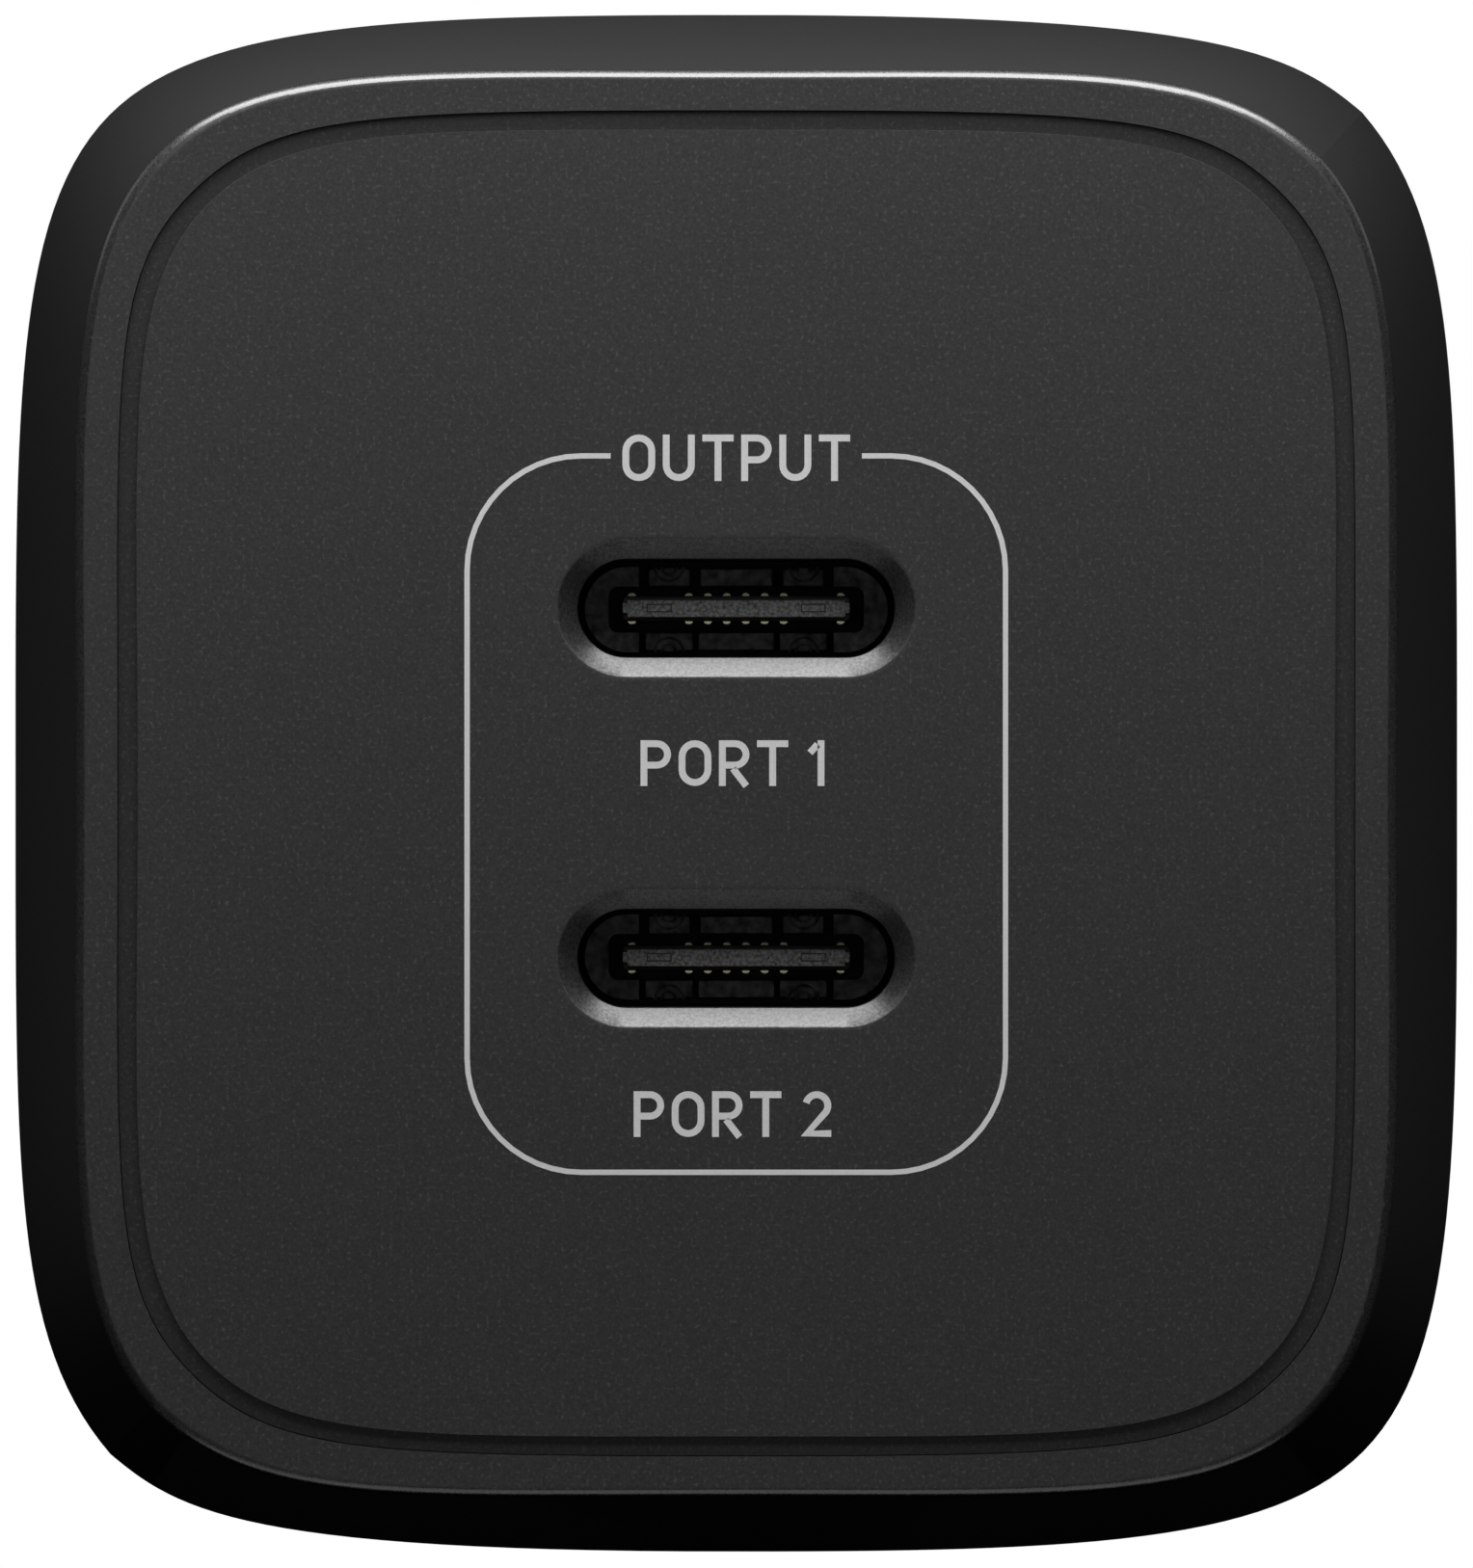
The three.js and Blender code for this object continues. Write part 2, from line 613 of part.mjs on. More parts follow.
const OUTPUT_BOARD_Y = [behindFace(10.6), behindFace(11.8)];
const MAIN_BOARD_TOP = -13.2;
const MAIN_BOARD_BOTTOM = -14.2;
const INPUT_BOARD_Z = [14.9, 15.9];
const SEAT_GAP = 0.1; // solder gap between a part and its board

piece("output_board", box([-13.2, 13.2], OUTPUT_BOARD_Y, [-13, 13]), MATERIALS.board);
piece(
  "main_board",
  box([-13.4, 13.4], [behindFace(12.6), behindFace(34.5)], [MAIN_BOARD_BOTTOM, MAIN_BOARD_TOP]),
  MATERIALS.board,
);
piece(
  "input_board",
  box([-11.6, 11.6], [behindFace(13), behindFace(37.6)], INPUT_BOARD_Z),
  MATERIALS.board,
);
piece(
  "board_link",
  box([-1.8, 6.2], [OUTPUT_BOARD_Y[1] + SEAT_GAP, behindFace(13.8)], [-13.1, -11.3]),
  MATERIALS.black,
);
piece(
  "insulation_barrier",
  box([-13.2, 13.2], [behindFace(12.05), behindFace(12.35)], [-11, 12.8]),
  MATERIALS.film,
);
for (const [name, side] of SIDES) {
  const thickness = ordered(side * 14.6, side * 15.3);
  const spreader = box(thickness, [behindFace(13), behindFace(33)], [-10.5, 10.5]);
  piece(`heat_spreader_${name}`, spreader, MATERIALS.aluminium);
}

// ---- Parts on the output board, in front of it ----------------------------------------------

const outputSeat = OUTPUT_BOARD_Y[0] - SEAT_GAP;
for (const [name, side] of SIDES) {
  const x = side * 9.4;
  const inductor = box([x - 3.3, x + 3.3], [outputSeat - 4.4, outputSeat], [1.6, 8.2]);
  piece(`buck_inductor_${name}`, inductor, MATERIALS.ferrite);
  const can = rod("y", 3.15, [outputSeat - 5.8, outputSeat - 1], { x, z: -4.6 });
  const foot = boxAt([x, outputSeat - 0.5, -4.6], [6.6, 1, 6.6]);
  piece(`output_capacitor_${name}`, join(can, foot), MATERIALS.aluminium);
}
piece("charge_controller", boxAt([0, outputSeat - 0.45, 10], [5, 0.9, 5]), MATERIALS.chip);
piece("buck_controller", boxAt([0, outputSeat - 0.45, -10], [4, 0.9, 4]), MATERIALS.chip);

// ---- Transformer ----------------------------------------------------------------------------

const transformer = groupAt(5.2, behindFace(22.5), -4.9);
const CORE = { width: 12.5, length: 17, halfHeight: 8.1, yoke: 2.8, leg: 2.5, post: 3.5 };

// Half of the ferrite core: a yoke with two outer legs and a round middle post.
function coreHalf(up) {
  const between = (low, high) => ordered(low * up, high * up);
  const halfWidth = CORE.width / 2;
  const halfLength = CORE.length / 2;
  const yokeFrom = CORE.halfHeight - CORE.yoke;
  const legs = [-1, 1].map((side) => {
    const y = ordered(side * (halfLength - CORE.leg), side * halfLength);
    return box([-halfWidth, halfWidth], y, between(0.05, CORE.halfHeight));
  });
  return join(
    box([-halfWidth, halfWidth], [-halfLength, halfLength], between(yokeFrom, CORE.halfHeight)),
    rod("z", CORE.post, between(0.05, yokeFrom + 0.1), {}),
    ...legs,
  );
}

const tube = (outer, inner, [from, to]) =>
  cut(rod("z", outer, [from, to], {}, 28), rod("z", inner, [from - 1, to + 1], {}, 28));

// The bobbin is a spool round the post, and the winding fills it.
const SPOOL = { inner: 3.7, wall: 4.3, flange: 5.7, half: 5.1, flangeThickness: 0.7 };
const spool = join(
  tube(SPOOL.wall, SPOOL.inner, [-SPOOL.half, SPOOL.half]),
  tube(SPOOL.flange, SPOOL.inner, [-SPOOL.half, SPOOL.flangeThickness - SPOOL.half]),
  tube(SPOOL.flange, SPOOL.inner, [SPOOL.half - SPOOL.flangeThickness, SPOOL.half]),
);
piece("transformer_core_lower", coreHalf(-1), MATERIALS.ferrite, transformer);
piece("transformer_core_upper", coreHalf(1), MATERIALS.ferrite, transformer);
piece("transformer_bobbin", spool, MATERIALS.black, transformer);
piece("transformer_winding", tube(5.5, 4.5, [-4.2, 4.2]), MATERIALS.tape, transformer);

// ---- Mains filter choke ---------------------------------------------------------------------

const choke = groupAt(-9.4, behindFace(19.6), -6.4);
const CHOKE = { ring: 4.3, core: 1.3, bore: 1.6, winding: 2.1, half: 0.95 };

// A round bar bent along part of the choke's ring, which lies in Y and Z.
function ringBar(radius, from, to, steps) {
  const isWhole = to - from >= 2 * Math.PI;
  if (isWhole) {
    const ring = new THREE.TorusGeometry(CHOKE.ring, radius, 10, steps);
    ring.rotateY(Math.PI / 2);
    return solid(ring);
  }
  const points = [];
  for (let i = 0; i <= steps; i += 1) {
    const angle = from + ((to - from) * i) / steps;
    points.push(
      new THREE.Vector3(0, CHOKE.ring * Math.sin(angle), CHOKE.ring * Math.cos(angle)),
    );
  }
  const section = new THREE.Shape();
  section.absarc(0, 0, radius, 0, 2 * Math.PI);
  const path = new THREE.CatmullRomCurve3(points);
  return solid(
    new THREE.ExtrudeGeometry(section, {
      steps,
      extrudePath: path,
      bevelEnabled: false,
      curveSegments: 5,
    }),
  );
}

const chokeCore = ringBar(CHOKE.core, 0, 2 * Math.PI, 28);
piece("choke_core", chokeCore, MATERIALS.ferrite, choke);
for (const [name, middle] of [["front", -Math.PI / 2], ["back", Math.PI / 2]]) {
  const span = [middle - CHOKE.half, middle + CHOKE.half];
  const bore = ringBar(CHOKE.bore, span[0] - 0.2, span[1] + 0.2, 14);
  const winding = cut(ringBar(CHOKE.winding, ...span, 12), bore);
  piece(`choke_winding_${name}`, winding, MATERIALS.copper, choke);
}

// ---- Other parts of the mains side ----------------------------------------------------------

const BULK = { radius: 4.5, spacing: 9.4, y: [behindFace(13.2), behindFace(33.2)] };
const bulkHeight = INPUT_BOARD_Z[0] - 0.3 - BULK.radius;
for (const [name, place] of [["left", -1], ["middle", 0], ["right", 1]]) {
  const can = rod("y", BULK.radius, BULK.y, { x: place * BULK.spacing, z: bulkHeight }, 28);
  piece(`bulk_capacitor_${name}`, can, MATERIALS.capacitor);
}

const mainSeat = MAIN_BOARD_TOP + SEAT_GAP;
const underSeat = MAIN_BOARD_BOTTOM - SEAT_GAP;
piece(
  "filter_capacitor",
  box([-13.2, -5], [behindFace(27.2), behindFace(33.4)], [mainSeat, -1.4]),
  MATERIALS.tape,
);
piece(
  "safety_capacitor",
  rod("x", 3.3, [-4.8, -2.4], { y: behindFace(16.6), z: mainSeat + 3.3 }),
  MATERIALS.ceramic,
);
piece("fuse", rod("z", 1.7, [mainSeat, mainSeat + 9], { x: -3.5, y: behindFace(23) }), MATERIALS.black);
piece(
  "thermistor",
  rod("x", 2.6, [-4.3, -2.6], { y: behindFace(30.4), z: mainSeat + 2.6 }),
  MATERIALS.ceramic,
);
piece("bridge_rectifier", boxAt([-6, behindFace(29), underSeat - 0.8], [8, 6, 1.6]), MATERIALS.chip);
piece("power_switch", boxAt([6, behindFace(29), underSeat - 0.45], [8, 8, 0.9]), MATERIALS.chip);
piece("rectifier_switch", boxAt([6, behindFace(17), underSeat - 0.5], [6, 5, 1]), MATERIALS.chip);
piece("optocoupler", boxAt([-4, behindFace(18), underSeat - 1], [6.5, 4.4, 2]), MATERIALS.chip);

export default charger;
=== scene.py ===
"""Looks of a compact USB wall charger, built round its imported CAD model.

The casing, the face plate and its print, the two ports, the back cover and the folding plug are
modelled here at fine resolution. The parts inside are the CAD model's own, with softened edges.
Lengths are in millimetres until a mesh is made.
"""

import json
import math

import bmesh
import bpy
import numpy as np
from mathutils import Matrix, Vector


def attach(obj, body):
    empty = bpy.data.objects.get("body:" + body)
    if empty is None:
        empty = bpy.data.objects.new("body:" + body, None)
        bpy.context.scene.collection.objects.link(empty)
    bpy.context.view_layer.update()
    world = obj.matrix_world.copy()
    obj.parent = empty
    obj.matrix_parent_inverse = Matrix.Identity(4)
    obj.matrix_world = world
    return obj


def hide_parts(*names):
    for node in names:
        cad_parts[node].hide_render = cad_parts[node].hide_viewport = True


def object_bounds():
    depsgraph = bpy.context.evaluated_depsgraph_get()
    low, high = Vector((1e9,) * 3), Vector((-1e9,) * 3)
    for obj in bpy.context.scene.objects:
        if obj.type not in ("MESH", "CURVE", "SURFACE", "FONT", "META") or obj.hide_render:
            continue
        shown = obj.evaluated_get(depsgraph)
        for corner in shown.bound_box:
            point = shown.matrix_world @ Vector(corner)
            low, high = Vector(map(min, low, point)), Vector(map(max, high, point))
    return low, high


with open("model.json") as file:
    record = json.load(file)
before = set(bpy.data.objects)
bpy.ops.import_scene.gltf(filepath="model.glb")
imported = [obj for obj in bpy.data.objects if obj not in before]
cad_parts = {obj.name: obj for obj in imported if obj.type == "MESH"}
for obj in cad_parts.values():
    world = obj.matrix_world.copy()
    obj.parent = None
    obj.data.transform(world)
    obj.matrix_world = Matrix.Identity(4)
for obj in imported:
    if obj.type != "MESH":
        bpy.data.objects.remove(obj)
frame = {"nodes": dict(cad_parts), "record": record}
cad_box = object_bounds()

MM = 0.001
CHARGER = "charger"

# ---- Sizes ----

# These are as in the CAD model.
DEPTH = -cad_box[0].y / MM
BACK_FILLET = 2.0
STRAIGHT_TAPER = 0.75
COVER_THICKNESS = 2.0
PLATE_THICKNESS = 1.8
FIT_GAP = 0.1
LEDGE_WIDTH = 0.8
SHELF_THICKNESS = 1.3
SHELF_SLOPE = 1.5
PORT_HEIGHTS = {"upper": 4.6, "lower": -4.6}
PORT_HOLE = (4.175, 1.295)
PORT_CHAMFER = 0.51

# These differ a little from the CAD model, or are detail that it leaves out. A support is a narrow
# strip beside a rounded edge that keeps the shading of the flat beyond it even.
GROOVE_DEPTH = 0.45
PORT_CHAMFER_DEPTH = 0.43
FLANGE_GAP = 0.015
EDGE_ROUND = 0.02
PLATE_EDGE_ROUND = 0.006
SUPPORT = 0.02

# The front's outer edge is a narrow bevel between two rounds. Each part is (radius, start, end): it
# turns from one angle to the other, in degrees from the face, on its own radius.
EDGE_ARCS = ((0.12, 0, 36), (1.0, 36, 44), (0.34, 44, 90))

# The edge's own finish starts where the normal's Y share falls below this.
NEARLY_FORWARD = 0.83

# The rings of the side wall, as shares of its length from front to back.
WALL_SHARES = (0.002, 0.2, 0.4, 0.6, 0.75, 0.8, 0.85, 0.9, 0.95, 1.0)

CURVE_STEPS = 28
FILLET_STEPS = 15
ROUND_STEPS = 3


def even(at, shoulder, pull, slope):
    """A corner without a crease: both of its curves have the same shares and the same slope."""
    arm = (shoulder, pull, slope)
    return {"corner": (at, at), "top": arm, "side": arm}


# Each curve from an edge's middle to a corner is (shoulder, pull, slope): how far the edge runs
# straight, how far the curve runs straight at the corner, and its angle there in degrees.
FACE_OUTLINE = {
    "half": (17.36, 18.76),
    "rounded": even(0.8795, 0.4935, 0.2, 47.1),
    "creased": {"corner": (0.886, 0.877), "top": (0.526, 0.221, 43.1), "side": (0.5, 0.194, 48.3)},
}
WIDEST_OUTLINE = {
    "half": (19.7, 21.0),
    "rounded": even(0.8696, 0.4747, 0.179, 45.2),
    "creased": {
        "corner": (0.868, 0.873), "top": (0.682, 0.1235, 40.2), "side": (0.509, 0.195, 49.2),
    },
}


def plain_outline(half, corner):
    """An outline whose four corners are alike."""
    return {"half": half, "rounded": corner, "creased": corner}


RECESS_OUTLINE = plain_outline((16.25, 17.68), even(0.879, 0.611, 0.178, 44.7))
PLATE_OUTLINE = plain_outline((15.72, 17.16), even(0.885, 0.54, 0.188, 45.6))
CAVITY_FRONT_OUTLINE = plain_outline((15.4, 16.8), even(0.88, 0.55, 0.18, 45))
CAVITY_BACK_OUTLINE = plain_outline((17.7, 19.0), even(0.87, 0.475, 0.18, 45))
COVER_RECESS_OUTLINE = plain_outline((17.0, 18.3), even(0.87, 0.475, 0.18, 45))


def behind_face(distance):
    """The Y coordinate at a distance behind the front plane."""
    return distance - DEPTH


# ---- Outlines and meshes ----

TOP_SHARES = np.arange(1, CURVE_STEPS + 1) / CURVE_STEPS
SIDE_SHARES = np.arange(1, CURVE_STEPS) / CURVE_STEPS

# The creased corners' places among an outline's points.
CREASES = (CURVE_STEPS - 1, 2 * (2 * CURVE_STEPS - 1) + CURVE_STEPS - 1)


def bezier(points, shares):
    """Points on a cubic Bezier curve."""
    a, b, c, d = (np.array(point, float) for point in points)
    t = shares[:, None]
    return (1 - t) ** 3 * a + 3 * (1 - t) ** 2 * t * b + 3 * (1 - t) * t**2 * c + t**3 * d


def quarter(width, height, corner):
    """One quarter of an outline in X and Z, from beside its top middle to its side middle."""
    tip = np.array([corner["corner"][0] * width, corner["corner"][1] * height])

    def heading(slope):
        angle = math.radians(slope)
        return np.array([math.cos(angle), -math.sin(angle)])

    shoulder, pull, slope = corner["top"]
    before_tip = tip - pull * width * heading(slope)
    top = bezier([(0, height), (shoulder * width, height), before_tip, tip], TOP_SHARES)
    shoulder, pull, slope = corner["side"]
    after_tip = tip + pull * height * heading(slope)
    side = bezier([tip, after_tip, (width, shoulder * height), (width, 0)], SIDE_SHARES)
    return np.vstack([top, side])


def outline_points(outline, inset=0.0):
    """A whole outline in X and Z, pulled in by inset."""
    width, height = (half - inset for half in outline["half"])
    creased = quarter(width, height, outline["creased"])
    rounded = quarter(width, height, outline["rounded"])
    return np.vstack([creased, rounded[::-1] * (1, -1), -creased, rounded[::-1] * (-1, 1)])


def stand_up(points, y):
    """A flat outline in X and Z, as 3-D points at one Y."""
    return np.column_stack([points[:, 0], np.full(len(points), y), points[:, 1]])


def outline_loop(outline, inset, y):
    return stand_up(outline_points(outline, inset), y)


def skin_loop(growth, inset, y):
    """The outer skin, growth of the way from the face outline to the widest outline."""
    face = outline_points(FACE_OUTLINE, inset)
    widest = outline_points(WIDEST_OUTLINE, inset)
    return stand_up(face + (widest - face) * growth, y)


def wall_growth(share):
    """How far the side wall has widened: evenly at first, then easing off."""
    eased = max(share - STRAIGHT_TAPER, 0)
    widened = share - eased**2 / (2 * (1 - STRAIGHT_TAPER))
    return widened / ((1 + STRAIGHT_TAPER) / 2)


def stadium_loop(half, y, z=0.0, steps=24):
    """A slot with round ends, lying along X."""
    half_width, half_height = half
    loop = []
    for side in (1, -1):
        for i in range(steps + 1):
            angle = side * math.pi / 2 - math.pi * i / steps
            x = side * (half_width - half_height) + half_height * math.cos(angle)
            loop.append((x, y, z + half_height * math.sin(angle)))
    return np.array(loop)


def rounded_rect_loop(half, radius, y, centre=(0.0, 0.0), steps=6):
    """A rectangle with round corners in X and Z."""
    loop = []
    for quarter_turn in range(4):
        side_x = 1 if quarter_turn in (0, 3) else -1
        side_z = 1 if quarter_turn in (0, 1) else -1
        for i in range(steps + 1):
            angle = math.pi / 2 * (quarter_turn + i / steps)
            x = centre[0] + side_x * (half[0] - radius) + radius * math.cos(angle)
            z = centre[1] + side_z * (half[1] - radius) + radius * math.sin(angle)
            loop.append((x, y, z))
    return np.array(loop)


def arc(centre, radius, start, end, steps=12):
    """Points on a flat circle, between two angles in degrees."""
    angles = np.radians(np.linspace(start, end, steps + 1))
    return [(centre[0] + radius * math.cos(a), centre[1] + radius * math.sin(a)) for a in angles]


def grown(half, by):
    return (half[0] + by, half[1] + by)


def span(a, b):
    """Two limits on an axis, the lower one first."""
    return (min(a, b), max(a, b))


def around(middle, half):
    """The limits at half a width on each side of a middle."""
    return (middle - half, middle + half)


def even_normals(obj):
    """Keeps a flat face's shading flat beside its rounded edges."""
    modifier = obj.modifiers.new("even_normals", "WEIGHTED_NORMAL")
    modifier.keep_sharp = True


class Builder:
    """Collects the faces of one mesh, in millimetres."""

    def __init__(self):
        self.bm = bmesh.new()

    def loop(self, points):
        return [self.bm.verts.new(point) for point in points]

    def skin(self, loops, ring=False):
        """Faces between each loop of vertices and the next."""
        following = loops[1:] + loops[:1] if ring else loops[1:]
        for near, far in zip(loops, following):
            for i in range(len(near)):
                j = (i + 1) % len(near)
                self.bm.faces.new((near[i], near[j], far[j], far[i]))

    def solid(self, loops_of_points):
        """A closed skin through loops of points, with a flat cap at each end."""
        loops = [self.loop(points) for points in loops_of_points]
        self.skin(loops)
        self.cap(loops)

    def cap(self, loops):
        """A flat face on the first and the last loop."""
        self.bm.faces.new(list(reversed(loops[0])))
        self.bm.faces.new(loops[-1])

    def fill(self, *loops):
        """A flat face bounded by the first loop, with the other loops as holes."""
        edges = []
        for loop in loops:
            for a, b in zip(loop, loop[1:] + loop[:1]):
                edges.append(self.bm.edges.get((a, b)) or self.bm.edges.new((a, b)))
        bmesh.ops.triangle_fill(self.bm, edges=edges, use_beauty=True)

    def block(self, x, y, z, edge=0.0):
        """A box between two limits on each axis, with softened edges."""
        corners = [self.bm.verts.new((a, b, c)) for a in x for b in y for c in z]
        quads = ((0, 1, 3, 2), (4, 6, 7, 5), (0, 4, 5, 1), (2, 3, 7, 6), (0, 2, 6, 4), (1, 5, 7, 3))
        faces = [self.bm.faces.new([corners[i] for i in quad]) for quad in quads]
        if edge:
            edges = {e for face in faces for e in face.edges}
            bmesh.ops.bevel(self.bm, geom=list(edges), offset=edge, segments=2, profile=0.5,
                            affect="EDGES")

    def mesh(self):
        """The collected faces as a bare mesh, still in millimetres."""
        bmesh.ops.recalc_face_normals(self.bm, faces=self.bm.faces)
        made = bpy.data.meshes.new("solid")
        self.bm.to_mesh(made)
        self.bm.free()
        return made

    def finish(self, name, finishes, slot, replaces=(), body=CHARGER, sharp=20, smooth=True):
        """The collected faces as a piece of the object. An edge turning by more than sharp degrees
        stays sharp in shading."""
        bmesh.ops.recalc_face_normals(self.bm, faces=self.bm.faces)
        bmesh.ops.scale(self.bm, vec=(MM, MM, MM), verts=self.bm.verts)
        mesh = bpy.data.meshes.new(name)
        self.bm.to_mesh(mesh)
        self.bm.free()
        if smooth:
            mesh.shade_smooth()
            mesh.set_sharp_from_angle(angle=math.radians(sharp))
        obj = bpy.data.objects.new(name, mesh)
        bpy.context.scene.collection.objects.link(obj)
        for finish in [finishes] if isinstance(finishes, str) else finishes:
            mesh.materials.append(MATERIALS[finish])
        if smooth:
            even_normals(obj)
        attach(obj, body)
        if replaces:
            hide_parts(*replaces)
        return obj


# ---- Materials ----

# A Mix node's colour sockets share their names with its other sockets, so they go by number.
MIX_COLOR_A, MIX_COLOR_B, MIX_COLOR_RESULT = 6, 7, 2

GRAIN_SIZE = 0.075
SPECK_SIZE = 0.11
CLOUD_SIZE = 1.6
BRIGHTEST_SPECK = 4    # times the plastic's own level


def set_inputs(node, values):
    """Sets a node's sockets by name."""
    for socket, value in values.items():
        node.inputs[socket].default_value = value


class Shader:
    """A Principled material and short ways to wire textures into it."""

    def __init__(self, name, roughness=0.5, metallic=0.0, specular=0.5):
        self.material = bpy.data.materials.new(name)
        self.material.use_nodes = True
        self.tree = self.material.node_tree
        self.bsdf = self.tree.nodes["Principled BSDF"]
        set_inputs(self.bsdf, {
            "Roughness": roughness, "Metallic": metallic, "Specular IOR Level": specular,
        })
        self.place = self.node("ShaderNodeTexCoord").outputs["Object"]

    def node(self, kind, **settings):
        made = self.tree.nodes.new(kind)
        for key, value in settings.items():
            setattr(made, key, value)
        return made

    def link(self, source, node, socket):
        self.tree.links.new(source, node.inputs[socket])

    def noise(self, size, detail=2.0, roughness=0.5, stretch=None):
        """Cloudy noise whose features are about size millimetres across."""
        made = self.node("ShaderNodeTexNoise")
        set_inputs(made, {"Scale": 1 / (size * MM), "Detail": detail, "Roughness": roughness})
        place = self.place
        if stretch:
            mapping = self.node("ShaderNodeMapping")
            mapping.inputs["Scale"].default_value = stretch
            self.link(place, mapping, "Vector")
            place = mapping.outputs["Vector"]
        self.link(place, made, "Vector")
        return made.outputs["Fac"]

    def scaled(self, value, low, high, start=0.0, end=1.0):
        """A value from start to end, mapped to low to high."""
        made = self.node("ShaderNodeMapRange")
        set_inputs(made, {"From Min": start, "From Max": end, "To Min": low, "To Max": high})
        self.link(value, made, "Value")
        return made.outputs["Result"]

    def math(self, operation, first, second):
        made = self.node("ShaderNodeMath", operation=operation)
        for socket, value in enumerate((first, second)):
            if isinstance(value, (int, float)):
                made.inputs[socket].default_value = value
            else:
                self.link(value, made, socket)
        return made.outputs["Value"]

    def blend(self, factor, dark, light):
        """A colour between two, by a factor."""
        made = self.node("ShaderNodeMix", data_type="RGBA")
        self.link(factor, made, "Factor")
        made.inputs[MIX_COLOR_A].default_value = (*dark, 1)
        made.inputs[MIX_COLOR_B].default_value = (*light, 1)
        return made.outputs[MIX_COLOR_RESULT]

    def color(self, value):
        self.link(value, self.bsdf, "Base Color")

    def roughness(self, value):
        self.link(value, self.bsdf, "Roughness")

    def bump(self, height, depth, strength=1.0):
        """Relief of about depth millimetres."""
        made = self.node("ShaderNodeBump")
        set_inputs(made, {"Strength": strength, "Distance": depth * MM})
        self.link(height, made, "Height")
        self.link(made.outputs["Normal"], self.bsdf, "Normal")


def grey(level):
    return (level, level, level)


def grained_plastic(name, level, roughness, grain, sparkle, specular=(0.5, 0.5), ior=1.5):
    """Moulded plastic with a fine spark-eroded grain and paler specks. The grain moves the tone by
    a share of its level, and the specks add sparkle times that level."""
    shader = Shader(name)
    shader.bsdf.inputs["IOR"].default_value = ior
    fine = shader.noise(GRAIN_SIZE, detail=2.0, roughness=0.6)
    cloud = shader.noise(CLOUD_SIZE, detail=3.0)
    specks = shader.scaled(shader.noise(SPECK_SIZE, detail=1.0), 0, 1, 0.58, 0.74)
    tone = shader.scaled(fine, 1 - grain, 1 + grain, 0.3, 0.7)
    tone = shader.math("MULTIPLY", tone, shader.scaled(cloud, 0.97, 1.03, 0.3, 0.7))
    tone = shader.math("ADD", tone, shader.math("MULTIPLY", specks, sparkle))
    tone = shader.math("DIVIDE", tone, BRIGHTEST_SPECK)
    shader.color(shader.blend(tone, grey(0), grey(level * BRIGHTEST_SPECK)))
    shader.roughness(shader.scaled(fine, roughness - 0.05, roughness + 0.05, 0.3, 0.7))
    shader.link(shader.scaled(fine, *specular, 0.35, 0.65), shader.bsdf, "Specular IOR Level")
    shader.bump(fine, 0.004, 0.6)
    return shader.material


def ink():
    """Pad-printed ink: slightly uneven, with the grain below it showing through."""
    shader = Shader("ink", roughness=0.55, specular=0.3)
    fine = shader.noise(GRAIN_SIZE, detail=2.0, roughness=0.6)
    shader.color(shader.blend(fine, grey(0.74), grey(0.9)))
    shader.bump(fine, 0.003, 0.5)
    return shader.material


def plain_plastic(name, dark, light, roughness=0.5, size=0.4):
    """Moulded plastic with a faint flow pattern and fine texture."""
    shader = Shader(name, roughness=roughness)
    cloud = shader.scaled(shader.noise(size, detail=4.0), 0, 1, 0.32, 0.68)
    shader.color(shader.blend(cloud, dark, light))
    shader.roughness(shader.scaled(cloud, roughness - 0.08, roughness + 0.08))
    shader.bump(shader.noise(0.09, detail=2.0), 0.003, 0.4)
    return shader.material


def metal(name, dark, light, roughness=0.3, stretch=(1, 1, 12), size=0.5):
    """Plated or rolled metal with fine draw marks along one axis."""
    shader = Shader(name, roughness=roughness, metallic=1.0)
    marks = shader.noise(size, detail=5.0, roughness=0.7, stretch=stretch)
    shader.color(shader.blend(marks, dark, light))
    shader.roughness(shader.scaled(marks, roughness - 0.08, roughness + 0.12, 0.3, 0.7))
    shader.bump(marks, 0.002, 0.15)
    return shader.material


